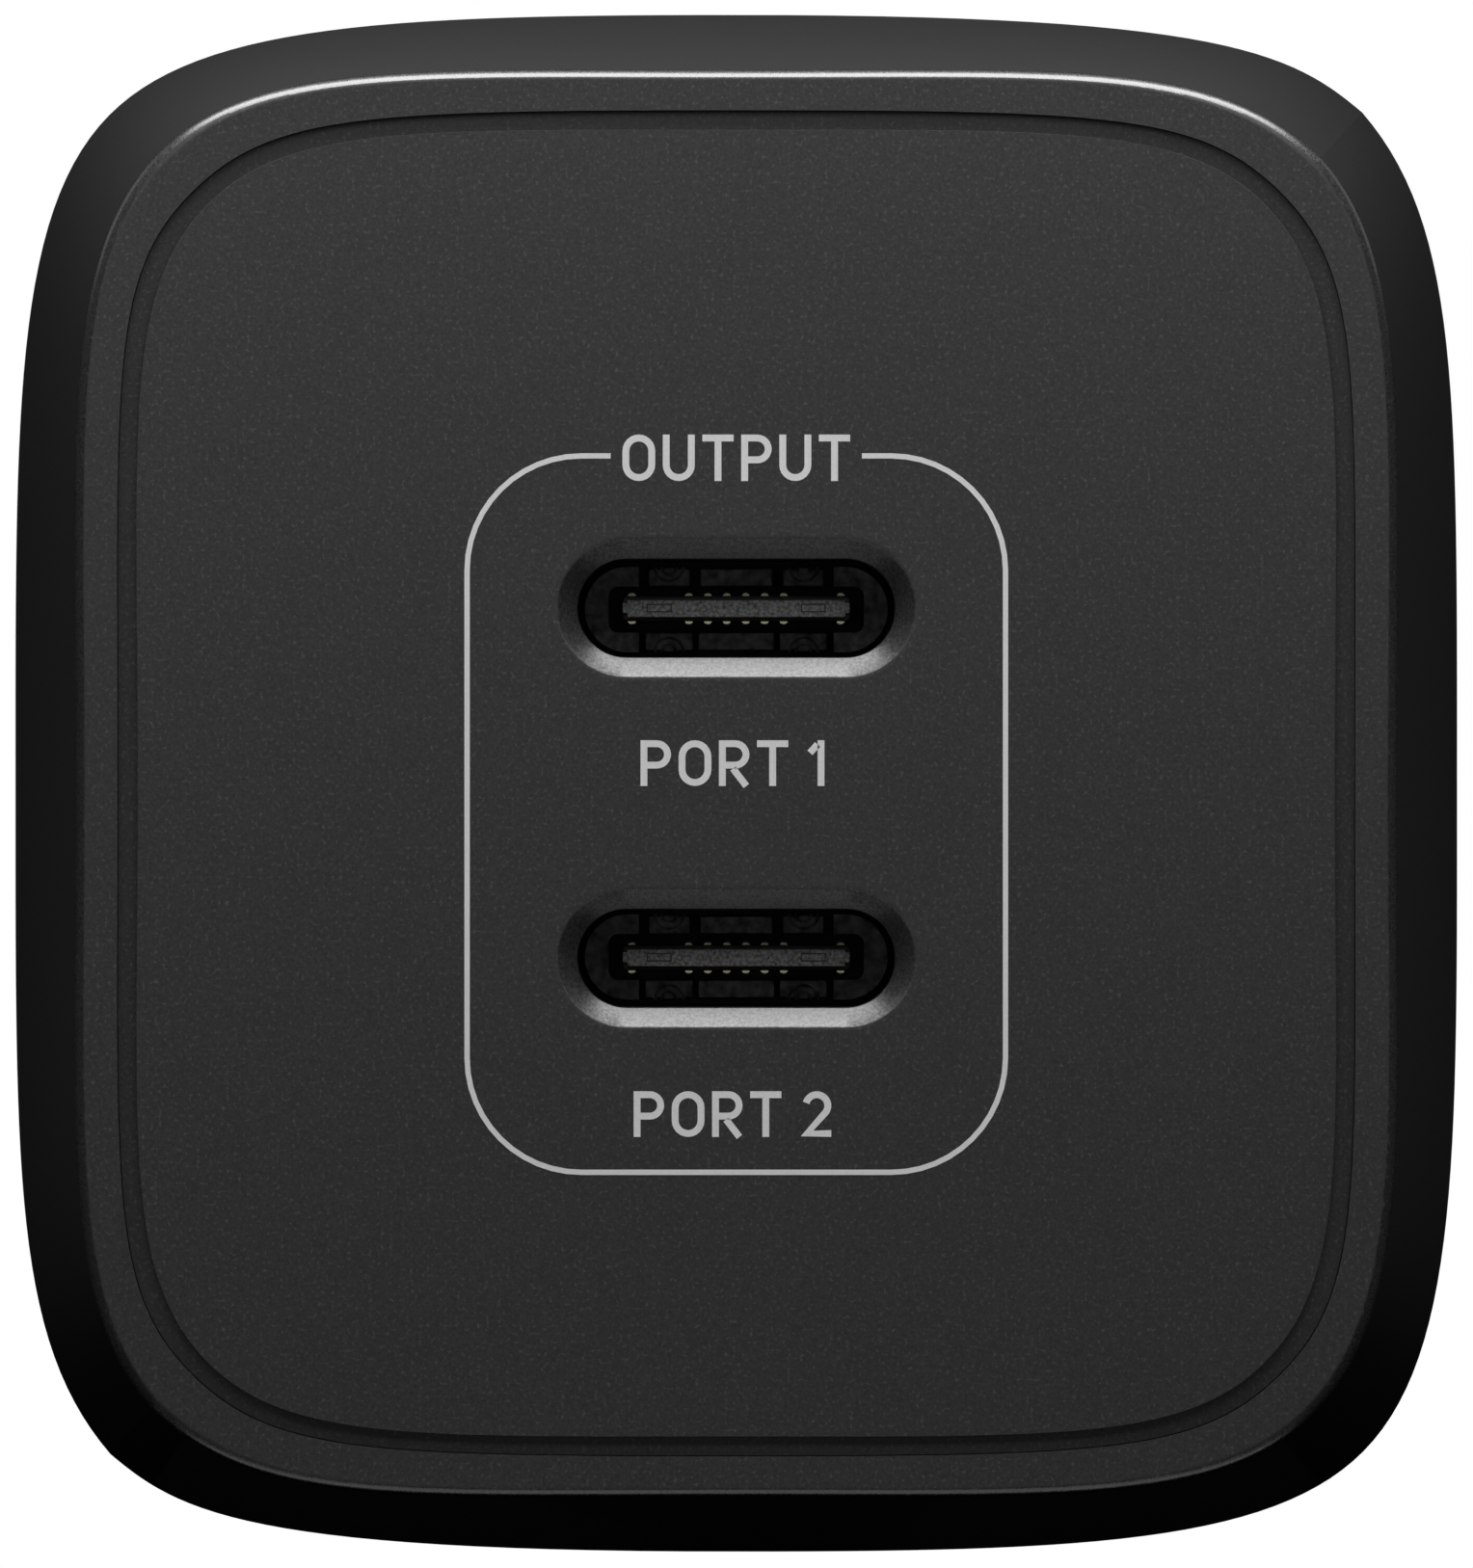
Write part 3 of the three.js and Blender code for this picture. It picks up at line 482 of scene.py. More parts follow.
MATERIALS = {
    "shell": grained_plastic("shell", 0.0265, 0.42, 0.36, 1.5),
    "shell_edge": grained_plastic("shell_edge", 0.034, 0.27, 0.15, 0.5, (0.85, 1.0), 1.62),
    "port_edge": grained_plastic("port_edge", 0.028, 0.33, 0.25, 1.0, (0.65, 1.3), 1.52),
    "shell_wall": grained_plastic("shell_wall", 0.032, 0.45, 0.06, 0.05),
    "ink": ink(),
    "rotor": grained_plastic("rotor", 0.026, 0.42, 0.3, 1.0),
    "blade": metal("blade", (0.66, 0.65, 0.62), (0.8, 0.79, 0.76), 0.34),
    "steel": metal("steel", (0.42, 0.42, 0.43), (0.6, 0.6, 0.61), 0.32),
    "dark_steel": metal("dark_steel", grey(0.03), grey(0.06), 0.5),
    "bronze": metal("bronze", (0.5, 0.32, 0.14), (0.68, 0.46, 0.22), 0.3),
    "gold": plain_plastic("gold", (0.8, 0.76, 0.45), (0.98, 0.94, 0.6), 0.3, size=0.1),
    "black": plain_plastic("black", grey(0.008), grey(0.016), 0.55),
    "nose": plain_plastic("nose", grey(0.04), grey(0.34), 0.6, size=0.09),
    "base": plain_plastic("base", grey(0.2), grey(0.85), 0.6, size=0.3),
    "grey_plastic": plain_plastic("grey_plastic", grey(0.3), grey(0.42)),
    "board": plain_plastic("board", (0.01, 0.07, 0.03), (0.025, 0.15, 0.06), 0.35),
    "ferrite": plain_plastic("ferrite", (0.035, 0.035, 0.038), (0.07, 0.07, 0.075), 0.75, 0.2),
    "copper": metal("copper", (0.45, 0.17, 0.06), (0.7, 0.32, 0.14), 0.3, (14, 1, 1)),
    "tape": plain_plastic("tape", (0.62, 0.4, 0.02), (0.8, 0.56, 0.06), 0.35),
    "capacitor": plain_plastic("capacitor", (0.012, 0.014, 0.024), (0.024, 0.027, 0.042), 0.3),
    "aluminium": metal("aluminium", grey(0.55), grey(0.75), 0.35),
    "ceramic": plain_plastic("ceramic", (0.03, 0.11, 0.34), (0.06, 0.19, 0.48), 0.35),
    "film": plain_plastic("film", (0.6, 0.52, 0.26), (0.76, 0.68, 0.4), 0.4),
    "chip": plain_plastic("chip", grey(0.01), grey(0.02), 0.5),
}

# ---- Casing ----


def fillet(radius, steps):
    """(inset, advance) of each step round a quarter circle, from the flat side to the wall."""
    turns = [math.pi / 2 * i / steps for i in range(steps + 1)]
    return [(radius * (1 - math.sin(turn)), radius * (1 - math.cos(turn))) for turn in turns]


def edge_profile():
    """(inset, advance) of each step round the front's outer edge, from the face to the wall."""
    inset = sum(
        radius * (math.sin(math.radians(end)) - math.sin(math.radians(start)))
        for radius, start, end in EDGE_ARCS
    )
    advance = 0.0
    profile = [(inset, advance)]
    for radius, start, end in EDGE_ARCS:
        turns = np.radians(np.linspace(start, end, FILLET_STEPS // len(EDGE_ARCS) + 1))
        for before, after in zip(turns, turns[1:]):
            inset -= radius * (math.sin(after) - math.sin(before))
            advance += radius * (math.cos(before) - math.cos(after))
            profile.append((inset, advance))
    return profile


def mark_creases(obj, count, outer_loops):
    """Keeps the two creased corners of the outer skin sharp in shading."""
    for edge in obj.data.edges:
        a, b = sorted(edge.vertices)
        if b - a == count and b < outer_loops * count and a % count in CREASES:
            edge.use_edge_sharp = True


def make_housing():
    """The sleeve, as one ring of loops: over the front edge, back along the wall, round the back
    rim and forward again inside."""
    profile = edge_profile()
    loops = [skin_loop(0, profile[0][0] + SUPPORT, behind_face(0))]
    for inset, advance in profile:
        loops.append(skin_loop(0, inset, behind_face(advance)))
    wall_start, wall_end = profile[-1][1], DEPTH - BACK_FILLET
    for share in WALL_SHARES:
        distance = wall_start + share * (wall_end - wall_start)
        loops.append(skin_loop(wall_growth(share), 0, behind_face(distance)))
    for inset, advance in reversed(fillet(BACK_FILLET, 12)[:-1]):
        loops.append(skin_loop(1, inset, -advance))
    outer_loops = len(loops)
    for inset, advance in fillet(EDGE_ROUND * 2, ROUND_STEPS):
        loops.append(outline_loop(COVER_RECESS_OUTLINE, -inset, -advance))
    seat = -COVER_THICKNESS - FIT_GAP
    plate_seat = behind_face(PLATE_THICKNESS + FIT_GAP)
    inside = (
        (COVER_RECESS_OUTLINE, 0, seat),
        (COVER_RECESS_OUTLINE, LEDGE_WIDTH, seat),
        (COVER_RECESS_OUTLINE, LEDGE_WIDTH, seat - SHELF_THICKNESS),
        (CAVITY_BACK_OUTLINE, 0, seat - SHELF_THICKNESS - SHELF_SLOPE),
        (CAVITY_FRONT_OUTLINE, 0, plate_seat + SHELF_THICKNESS),
        (CAVITY_FRONT_OUTLINE, LEDGE_WIDTH, plate_seat + SHELF_THICKNESS),
        (CAVITY_FRONT_OUTLINE, LEDGE_WIDTH, plate_seat),
        (RECESS_OUTLINE, 0, plate_seat),
    )
    loops += [outline_loop(*place) for place in inside]
    for inset, advance in reversed(fillet(EDGE_ROUND, ROUND_STEPS)):
        loops.append(outline_loop(RECESS_OUTLINE, inset - EDGE_ROUND, behind_face(advance)))
    loops.append(outline_loop(RECESS_OUTLINE, -EDGE_ROUND - SUPPORT, behind_face(0)))
    builder = Builder()
    count = len(loops[0])
    builder.skin([builder.loop(points) for points in loops], ring=True)
    finishes = ["shell", "shell_edge", "shell_wall"]
    edge_finish, wall_finish = 1, 2
    obj = builder.finish("casing", finishes, "shell", ["housing"])
    mark_creases(obj, count, outer_loops)
    for face in obj.data.polygons:
        on_front_edge = face.index < (FILLET_STEPS + 1) * count
        if face.center.y > behind_face(wall_start * 0.9) * MM:
            face.material_index = wall_finish
        elif on_front_edge and abs(face.normal.y) < NEARLY_FORWARD:
            face.material_index = edge_finish


# (growth beyond the hole, distance behind the face) of each step from the face into a port.
PORT_STEPS = (
    (PORT_CHAMFER + 0.12, 0.0),
    (PORT_CHAMFER + 0.04, 0.0),
    (PORT_CHAMFER + 0.012, 0.006),
    (PORT_CHAMFER - 0.015, 0.02),
    (0.012, PORT_CHAMFER_DEPTH - 0.01),
    (0.0, PORT_CHAMFER_DEPTH + 0.02),
    (0.0, PLATE_THICKNESS),
)


def make_face_plate():
    """The plate: a flat face with two chamfered ports, a rounded rim and a flange below the
    groove."""
    builder = Builder()
    edge = [(SUPPORT, 0.0), *fillet(PLATE_EDGE_ROUND, 2), (0, GROOVE_DEPTH)]
    flange = [(FLANGE_GAP, GROOVE_DEPTH), (FLANGE_GAP, PLATE_THICKNESS)]
    rim = [
        builder.loop(outline_loop(outline, inset, behind_face(distance)))
        for outline, steps in ((PLATE_OUTLINE, edge), (RECESS_OUTLINE, flange))
        for inset, distance in steps
    ]
    builder.skin(rim)
    mouths, exits = [], []
    for z in PORT_HEIGHTS.values():
        hole = [
            builder.loop(stadium_loop(grown(PORT_HOLE, by), behind_face(distance), z))
            for by, distance in PORT_STEPS
        ]
        builder.skin(hole)
        mouths.append(hole[0])
        exits.append(hole[-1])
    builder.fill(rim[0], *mouths)
    builder.fill(rim[-1], *exits)
    finishes = ["shell", "port_edge"]
    port_edge_finish = 1
    obj = builder.finish("face_plate", finishes, "shell", ["front_panel"])
    port_half_width = PORT_HOLE[0] + PORT_CHAMFER
    middle_half_height = RECESS_OUTLINE["half"][1] / 2
    for face in obj.data.polygons:
        x, y, z = face.center / MM
        by_a_port = abs(x) < port_half_width and abs(z) < middle_half_height
        if by_a_port and y < behind_face(PORT_CHAMFER_DEPTH) and abs(face.normal.y) < 0.97:
            face.material_index = port_edge_finish


# ---- Print on the face plate ----

INK_THICKNESS = 0.012
INK_SUNK = 0.004
FRAME_LINE = 0.14
FRAME_HALF_WIDTH = 7.07
FRAME_TOP = 8.6
FRAME_BOTTOM = -10.22
FRAME_RADIUS = 3.0
FRAME_GAP = 3.3
LETTER_STROKE = 0.18
LETTER_WIDTHS = {"O": 0.86, "U": 0.84, "T": 0.82, "P": 0.8, "R": 0.8, "1": 0.4, "2": 0.76, " ": 0}
LETTER_GAP = 0.2
WORD_GAP = 0.35

# Each line of print is (text, letter height, Z of its middle).
PRINT_LINES = (("OUTPUT", 1.22, 8.55), ("PORT 1", 1.2, 0.53), ("PORT 2", 1.2, -8.69))


def letter_strokes(letter, height):
    """The centre lines of a letter's strokes, as (points, closed)."""
    half = LETTER_STROKE / 2
    top, bottom = height - half, half
    width = LETTER_WIDTHS[letter]
    radius = width / 2 - half
    if letter == "O":
        line = arc((width / 2, top - radius), radius, 0, 180)
        line += arc((width / 2, bottom + radius), radius, 180, 360)
        return [(line, True)]
    if letter == "U":
        line = [(half, height)]
        line += arc((width / 2, bottom + radius), radius, 180, 360)
        line += [(width - half, height)]
        return [(line, False)]
    if letter == "T":
        bar = [(0, top), (width, top)]
        stem = [(width / 2, top - half), (width / 2, 0)]
        return [(bar, False), (stem, False)]
    if letter in "PR":
        low = height * 0.5 - half * 0.6
        radius = (top - low) / 2
        stem = [(half, 0), (half, height)]
        bowl = [(2 * half, top)]
        bowl += arc((width - half - radius, top - radius), radius, 90, -90)
        bowl += [(2 * half, low)]
        leg = [(width * 0.46, low - half), (width - half * 0.9, 0)]
        return [(line, False) for line in ((stem, bowl, leg) if letter == "R" else (stem, bowl))]
    if letter == "1":
        flag = [(0.02, top - 0.24), (width - 2 * half, top - 0.02)]
        stem = [(width - half, 0), (width - half, height)]
        return [(flag, False), (stem, False)]
    if letter == "2":
        line = arc((width / 2, top - radius), radius, 165, -35, 14)
        line += [(half * 1.35, bottom), (width, bottom)]
        return [(line, False)]
    raise ValueError(letter)


def flat_bar(builder, line, closed, width, origin):
    """A thin bar of ink along a line on the face, mitred where the line turns."""
    points = np.array(line, float) + origin
    ahead = np.roll(points, -1, axis=0) - points
    behind = points - np.roll(points, 1, axis=0)
    if not closed:
        ahead[-1] = behind[-1]
        behind[0] = ahead[0]
    ahead /= np.linalg.norm(ahead, axis=1)[:, None]
    behind /= np.linalg.norm(behind, axis=1)[:, None]
    turn = ahead + behind
    turn /= np.linalg.norm(turn, axis=1)[:, None]
    across = np.column_stack([-turn[:, 1], turn[:, 0]])
    stretch = np.maximum(np.sum(turn * ahead, axis=1), 0.5)
    offset = across * (width / 2 / stretch)[:, None]
    front, back = behind_face(-INK_THICKNESS), behind_face(INK_SUNK)
    left, right = points + offset, points - offset
    sections = []
    for l, r in zip(left, right):
        corners = ((l[0], front, l[1]), (r[0], front, r[1]), (r[0], back, r[1]), (l[0], back, l[1]))
        sections.append(builder.loop(corners))
    builder.skin(sections, ring=closed)
    if not closed:
        builder.cap(sections)


def make_print():
    builder = Builder()
    x, r = FRAME_HALF_WIDTH, FRAME_RADIUS
    line = [(FRAME_GAP, FRAME_TOP)]
    line += arc((x - r, FRAME_TOP - r), r, 90, 0)
    line += arc((x - r, FRAME_BOTTOM + r), r, 0, -90)
    line += arc((r - x, FRAME_BOTTOM + r), r, 270, 180)
    line += arc((r - x, FRAME_TOP - r), r, 180, 90)
    line += [(-FRAME_GAP, FRAME_TOP)]
    flat_bar(builder, line, False, FRAME_LINE, (0, 0))
    builder.finish("printed_frame", "ink", "shell")
    for index, (text, height, middle) in enumerate(PRINT_LINES):
        widths = [LETTER_WIDTHS[character] for character in text]
        total = sum(widths) + LETTER_GAP * (len(text) - 1) + WORD_GAP * text.count(" ")
        builder = Builder()
        x = -total / 2
        for character, width in zip(text, widths):
            if character == " ":
                x += WORD_GAP
                continue
            for stroke, closed in letter_strokes(character, height):
                flat_bar(builder, stroke, closed, LETTER_STROKE, (x, middle - height / 2))
            x += width + LETTER_GAP
        builder.finish(f"printed_label_{index + 1}", "ink", "shell")


# ---- Ports ----

SHELL_INNER = (4.17, 1.28)
SHELL_OUTER = (4.47, 1.63)
TONGUE_HALF = (3.02, 0.34)
TONGUE_ROUND = 0.12

# Distances behind the face.
SHELL_MOUTH = 1.95
TONGUE_TIP = 2.95
BASE_FACE = 8.0
BASE_BACK = 9.05
SHELL_BACK = 10.5

CONTACT_PLACES = (-2.75, -1.25, -0.75, -0.25, 0.25, 0.75, 1.25, 2.75)
CONTACT_HALF = 0.1
CONTACT_LOW = 0.335
CONTACT_HIGH = 0.42
NOSE_HALF = (2.87, 0.225)
NOSE_LENGTH = 0.35
WELL_HALF = (3.38, 0.61)
BASE_HALF = (4.01, 1.13)

# The base above (1) and below (-1) the tongue, in X from the middle: the pad's end and the spring's
# two ends. The C-shaped ends start beyond them.
BASE_PLACES = {1: (0.95, 1.24, 2.31), -1: (1.0, 1.15, 2.4)}
BASE_END_START = 2.58
SPRING_X = 1.78
SPRING_RADII = (0.2, 0.38)

# The latch plate's ends in the tongue's nose: two small rectangles drawn in outline.
LATCH_X = (1.7, 2.36)
LATCH_Z = (-0.1, 0.13)
LATCH_LINE = 0.035


def make_port_shell(name, z):
    """The drawn metal shell, with a rolled mouth."""
    builder = Builder()
    wall = SHELL_OUTER[0] - SHELL_INNER[0]
    loops = [
        stadium_loop(SHELL_OUTER, behind_face(SHELL_BACK), z),
        stadium_loop(SHELL_OUTER, behind_face(SHELL_MOUTH + wall / 2), z),
    ]
    rolls = 10
    for i in range(1, rolls):
        turn = math.pi * i / rolls
        by = -wall / 2 * (1 - math.cos(turn))
        behind_mouth = wall / 2 * (1 - math.sin(turn))
        y = behind_face(SHELL_MOUTH + behind_mouth)
        loops.append(stadium_loop(grown(SHELL_OUTER, by), y, z))
    loops += [
        stadium_loop(SHELL_INNER, behind_face(SHELL_MOUTH + wall / 2), z),
        stadium_loop(SHELL_INNER, behind_face(SHELL_BACK), z),
    ]
    builder.skin([builder.loop(points) for points in loops], ring=True)
    replaced = [f"{name}_port_shell"]
    builder.finish(f"{name}_receptacle", "dark_steel", "dark_steel", replaced)


def make_port_tongue(name, z):
    """The tongue and the moulding behind it that closes the shell."""
    builder = Builder()
    plug_half = grown(SHELL_INNER, -0.02)
    builder.solid([
        stadium_loop(plug_half, behind_face(BASE_FACE + 1), z),
        stadium_loop(plug_half, behind_face(SHELL_BACK), z),
    ])
    tip = TONGUE_TIP + NOSE_LENGTH - 0.05
    root = BASE_BACK + 0.05
    builder.solid([
        rounded_rect_loop(grown(TONGUE_HALF, -inset), TONGUE_ROUND, behind_face(distance), (0, z))
        for inset, distance in ((0.1, tip), (0.03, tip + 0.03), (0, tip + 0.1), (0, root))
    ])
    builder.finish(f"{name}_tongue", "black", "black", [f"{name}_port_tongue"])


def make_port_base(name, z):
    """The relief on the moulding round the tongue: two C-shaped ends, a pad above and below, and
    the four pressed springs of the ground contacts."""
    builder = Builder()
    face, back = behind_face(BASE_FACE), behind_face(BASE_BACK)
    for up, (pad_end, spring_start, spring_end) in BASE_PLACES.items():
        rim = z + up * BASE_HALF[1]
        heights = span(z + up * (WELL_HALF[1] + 0.01), rim - up * 0.06)
        tab_heights = span(rim - up * 0.09, rim - up * 0.03)
        builder.block(around(0, pad_end), (face, back), heights, edge=0.04)
        for side in (1, -1):
            middle = side * SPRING_X
            across = span(side * spring_start, side * spring_end)
            builder.block(across, (face + 0.12, back), heights, edge=0.04)
            for radius in SPRING_RADII:
                pressed_arc(builder, (middle, rim), radius, up, face + 0.1)
            builder.block(around(middle, 0.12), (face, back), tab_heights, edge=0.01)
    for side in (1, -1):
        base_end(builder, side, z)
    builder.finish(f"{name}_base", "base", "black", smooth=False)


def pressed_arc(builder, centre, radius, up, y):
    """A thin raised half ring, bulging away from the shell."""
    ridge = ((-0.045, 0.03), (0, -0.06), (0.045, 0.03))
    sections = []
    for turn in np.linspace(0, math.pi, 11):
        out = (math.cos(turn), -up * math.sin(turn))
        corners = []
        for outward, back in ridge:
            reach = radius + outward
            corners.append((centre[0] + out[0] * reach, y + back, centre[1] + out[1] * reach))
        sections.append(builder.loop(corners))
    builder.skin(sections)
    builder.cap(sections)


def base_end(builder, side, z):
    """One C-shaped end of the base, round an end of the tongue."""
    nearest = BASE_END_START + 0.02
    outer = [p for p in stadium_loop(BASE_HALF, 0) if side * p[0] > nearest]
    inner = [p for p in rounded_rect_loop(WELL_HALF, 0.25, 0) if side * p[0] > nearest]
    outer.sort(key=lambda p: p[2])
    inner.sort(key=lambda p: -p[2])
    cut = side * BASE_END_START
    outline = [(cut, 0, -BASE_HALF[1]), *outer, (cut, 0, BASE_HALF[1])]
    outline += [(cut, 0, WELL_HALF[1]), *inner, (cut, 0, -WELL_HALF[1])]
    outline = np.array(outline, float)[:, [0, 2]] + (0, z)
    builder.solid([stand_up(outline, behind_face(distance)) for distance in (BASE_FACE, BASE_BACK)])


def make_port_nose(name, z):
    """The tongue's rough front edge, with a lug at each end."""
    builder = Builder()
    front, back = behind_face(TONGUE_TIP), behind_face(TONGUE_TIP + NOSE_LENGTH)
    half_width, half_height = NOSE_HALF
    builder.block(around(0, half_width), (front, back), around(z, half_height), edge=0.03)
    for side in (1, -1):
        lug = span(side * (half_width - 0.1), side * (half_width + 0.12))
        builder.block(lug, (front + 0.02, back), (z - 0.12, z + 0.15), edge=0.02)
    builder.finish(f"{name}_tongue_nose", "nose", "black")


def make_port_latch(name, z):
    """The latch plate inside the tongue, and the outlines of its ends in the tongue's nose."""
    front = behind_face(TONGUE_TIP)
    depths = (front - 0.006, front + 0.1)
    low, high = z + LATCH_Z[0], z + LATCH_Z[1]
    builder = Builder()
    for side in (1, -1):
        near, far = span(side * LATCH_X[0], side * LATCH_X[1])
        for heights in ((low, low + LATCH_LINE), (high - LATCH_LINE, high)):
            builder.block((near, far), depths, heights)
        for start in (near, far - LATCH_LINE):
            upright = (start, start + LATCH_LINE)
            builder.block(upright, depths, (low + LATCH_LINE, high - LATCH_LINE))
    builder.finish(f"{name}_latch_outlines", "black", "black")
    builder = Builder()
    half_width = TONGUE_HALF[0] + 0.02
    depths = (behind_face(TONGUE_TIP + NOSE_LENGTH) + 0.1, behind_face(BASE_FACE))
    builder.block(around(0, half_width), depths, around(z, 0.06), edge=0.02)
    replaced = [f"{name}_port_latch_plate"]
    builder.finish(f"{name}_latch", "dark_steel", "steel", replaced)


def contact_section(x, z, up, top):
    """A contact's section in X and Z: flat towards the tongue, arched on the other side."""
    low = CONTACT_LOW + 0.01
    section = []
    for i in range(9):
        turn = math.pi * i / 8
        height = low + (top - low) * math.sin(turn)
        section.append((x + CONTACT_HALF * math.cos(turn), z + up * height))
    section += [(side * CONTACT_HALF + x, z + up * CONTACT_LOW) for side in (-1, 1)]
    return np.array(section)


def make_port_contacts(name, z):
    """Eight contacts on each side of the tongue. Their front ends curve in towards it, and those
    below reach further forward."""
    curve = ((0.0, 0.4), (0.02, 0.412), (0.06, CONTACT_HIGH), (0.16, CONTACT_HIGH))
    for row, up, behind_nose in (("upper", 1, 0.4), ("lower", -1, 0.06)):
        tip = TONGUE_TIP + behind_nose
        places = [(tip + behind_tip, top) for behind_tip, top in curve]
        places.append((BASE_FACE, CONTACT_HIGH))
        builder = Builder()
        for x in CONTACT_PLACES:
            builder.solid([
                stand_up(contact_section(x, z, up, top), behind_face(distance))
                for distance, top in places
            ])
        replaced = [f"{name}_port_contacts_{row}"]
        builder.finish(f"{name}_contacts_{row}", "gold", "gold", replaced, sharp=60)


# ---- Back cover and plug ----

PLUG = "plug"
AXIS_Y, AXIS_Z = -3.5, 8.0
BLADE_SPACING = 12.7
BLADE_WIDTH = 6.35
BLADE_THICKNESS = 1.5
BLADE_REACH = 20.5
ROTOR_RADIUS = 3.4
ROTOR_HALF_LENGTH = 8.8
SHAFT_RADIUS = 1.3
SHAFT_HALF_LENGTH = 11.0
TURN_GAP = 0.3
RETAINER_FACE = -7.8
RETAINER_SCREW_X = 13.6
SCOOP_RADIUS = 7.5
SCOOP_AXIS = (4.9, -9.3)
SCOOP_HALF_LENGTH = 9.4
SCOOP_BOX_Z = (-15.6, -3)
COVER_WALL = 1.2
WINDOW_BOX_DEPTH = 6.8
OVERLAP = 0.5
BLADE_ROOT_HALF = 2.2
BLADE_LUG_HALF = 1.2
BLADE_LUG_TOP = 3.1
BLADE_TIP_LENGTH = 1.6
LOCKING_HOLE_RADIUS = 1.6
LOCKING_HOLE_REACH = 15.3


def box_solid(x, y, z):
    builder = Builder()
    builder.block(x, y, z)
    return builder.mesh()


def rod_solid(axis, radius, ends, centre, steps=96):
    """A round bar along X or Y, through a centre given on the other two axes."""
    loops = []
    for end in ends:
        loop = []
        for i in range(steps):
            angle = 2 * math.pi * i / steps
            a, b = radius * math.cos(angle) + centre[0], radius * math.sin(angle) + centre[1]
            loop.append((end, a, b) if axis == "x" else (a, end, b))
        loops.append(loop)
    builder = Builder()
    builder.solid(loops)
    return builder.mesh()


def combine(operation, target, *tools):
    """Joins solids to a solid, or cuts them from it."""
    collection = bpy.context.scene.collection
    whole = bpy.data.objects.new("whole", target)
    collection.objects.link(whole)
    helpers = []
    for tool in tools:
        helper = bpy.data.objects.new("tool", tool)
        collection.objects.link(helper)
        helpers.append(helper)
        step = whole.modifiers.new("combine", "BOOLEAN")
        step.operation = operation
        step.solver = "EXACT"
        step.object = helper
    depsgraph = bpy.context.evaluated_depsgraph_get()
    made = bpy.data.meshes.new_from_object(whole.evaluated_get(depsgraph))
    for obj in (whole, *helpers):
        data = obj.data
        bpy.data.objects.remove(obj)
        bpy.data.meshes.remove(data)
    return made


def rounded_piece(mesh, width, name, finish, slot, node, body=CHARGER):
    """A solid with its sharp edges rounded, as a piece that replaces a CAD node."""
    builder = Builder()
    bm = builder.bm
    bm.from_mesh(mesh)
    bmesh.ops.remove_doubles(bm, verts=bm.verts, dist=0.002)
    bmesh.ops.dissolve_limit(bm, angle_limit=math.radians(0.5), verts=bm.verts, edges=bm.edges)
    paired = [edge for edge in bm.edges if len(edge.link_faces) == 2]
    sharp = [edge for edge in paired if edge.calc_face_angle() > math.radians(40)]
    bmesh.ops.bevel(bm, geom=sharp, offset=width, segments=3, profile=0.5, affect="EDGES",
                    clamp_overlap=True)
    builder.finish(name, finish, slot, [node], body, sharp=40)


def make_back_cover():
    """The cover, with the plug's window, a slot for each blade, a scoop for a finger below them,
    and the box, ears and screw bosses on its inside that hold the plug."""
    inner = -COVER_THICKNESS
    joined = inner + OVERLAP
    window_half = ROTOR_HALF_LENGTH + TURN_GAP
    window_half_height = ROTOR_RADIUS + TURN_GAP
    slot_half = BLADE_THICKNESS / 2 + 0.4
    slot_floor = AXIS_Y - BLADE_WIDTH / 2 - 0.425
    slot_end = AXIS_Z - BLADE_REACH - 0.4
    ear_near, ear_far = window_half + 0.1, window_half + 2.2
    saddle = SHAFT_RADIUS + 0.15
    boss_face = RETAINER_FACE + FIT_GAP
    below_boss = boss_face - 1
    builder = Builder()
    builder.solid([outline_loop(COVER_RECESS_OUTLINE, FIT_GAP, y) for y in (inner, 0)])
    plate = builder.mesh()
    joins = [
        box_solid(around(0, window_half + COVER_WALL), (-WINDOW_BOX_DEPTH, joined),
                  around(AXIS_Z, window_half_height + COVER_WALL)),
        box_solid(around(0, SCOOP_HALF_LENGTH + COVER_WALL), (inner - 2.4, joined), SCOOP_BOX_Z),
    ]
    cuts = []
    for side in (-1, 1):
        blade_x = side * BLADE_SPACING / 2
        screw = (side * RETAINER_SCREW_X, AXIS_Z)
        joins += [
            box_solid(around(blade_x, slot_half + COVER_WALL), (slot_floor - COVER_WALL, joined),
                      (slot_end - COVER_WALL, AXIS_Z - window_half_height - 0.1)),
            box_solid(span(side * ear_near, side * ear_far), (boss_face, joined),
                      around(AXIS_Z, 3)),
            rod_solid("y", 2, (boss_face, joined), screw),
        ]
        through_ear = span(side * (window_half - 0.5), side * (ear_far + 1))
        cuts += [
            box_solid(around(blade_x, slot_half), (slot_floor, 1), (slot_end, AXIS_Z)),
            rod_solid("x", saddle, through_ear, (AXIS_Y, AXIS_Z)),
            box_solid(through_ear, (below_boss, AXIS_Y), around(AXIS_Z, saddle)),
            rod_solid("y", 0.9, (below_boss, inner - 0.5), screw),
        ]
    cuts += [
        box_solid(around(0, window_half), (below_boss, 1), around(AXIS_Z, window_half_height)),
        rod_solid("x", SCOOP_RADIUS, around(0, SCOOP_HALF_LENGTH), SCOOP_AXIS, steps=192),
    ]
    cover = combine("DIFFERENCE", combine("UNION", plate, *joins), *cuts)
    rounded_piece(cover, 0.14, "rear_plate", "shell", "shell", "back_cover")


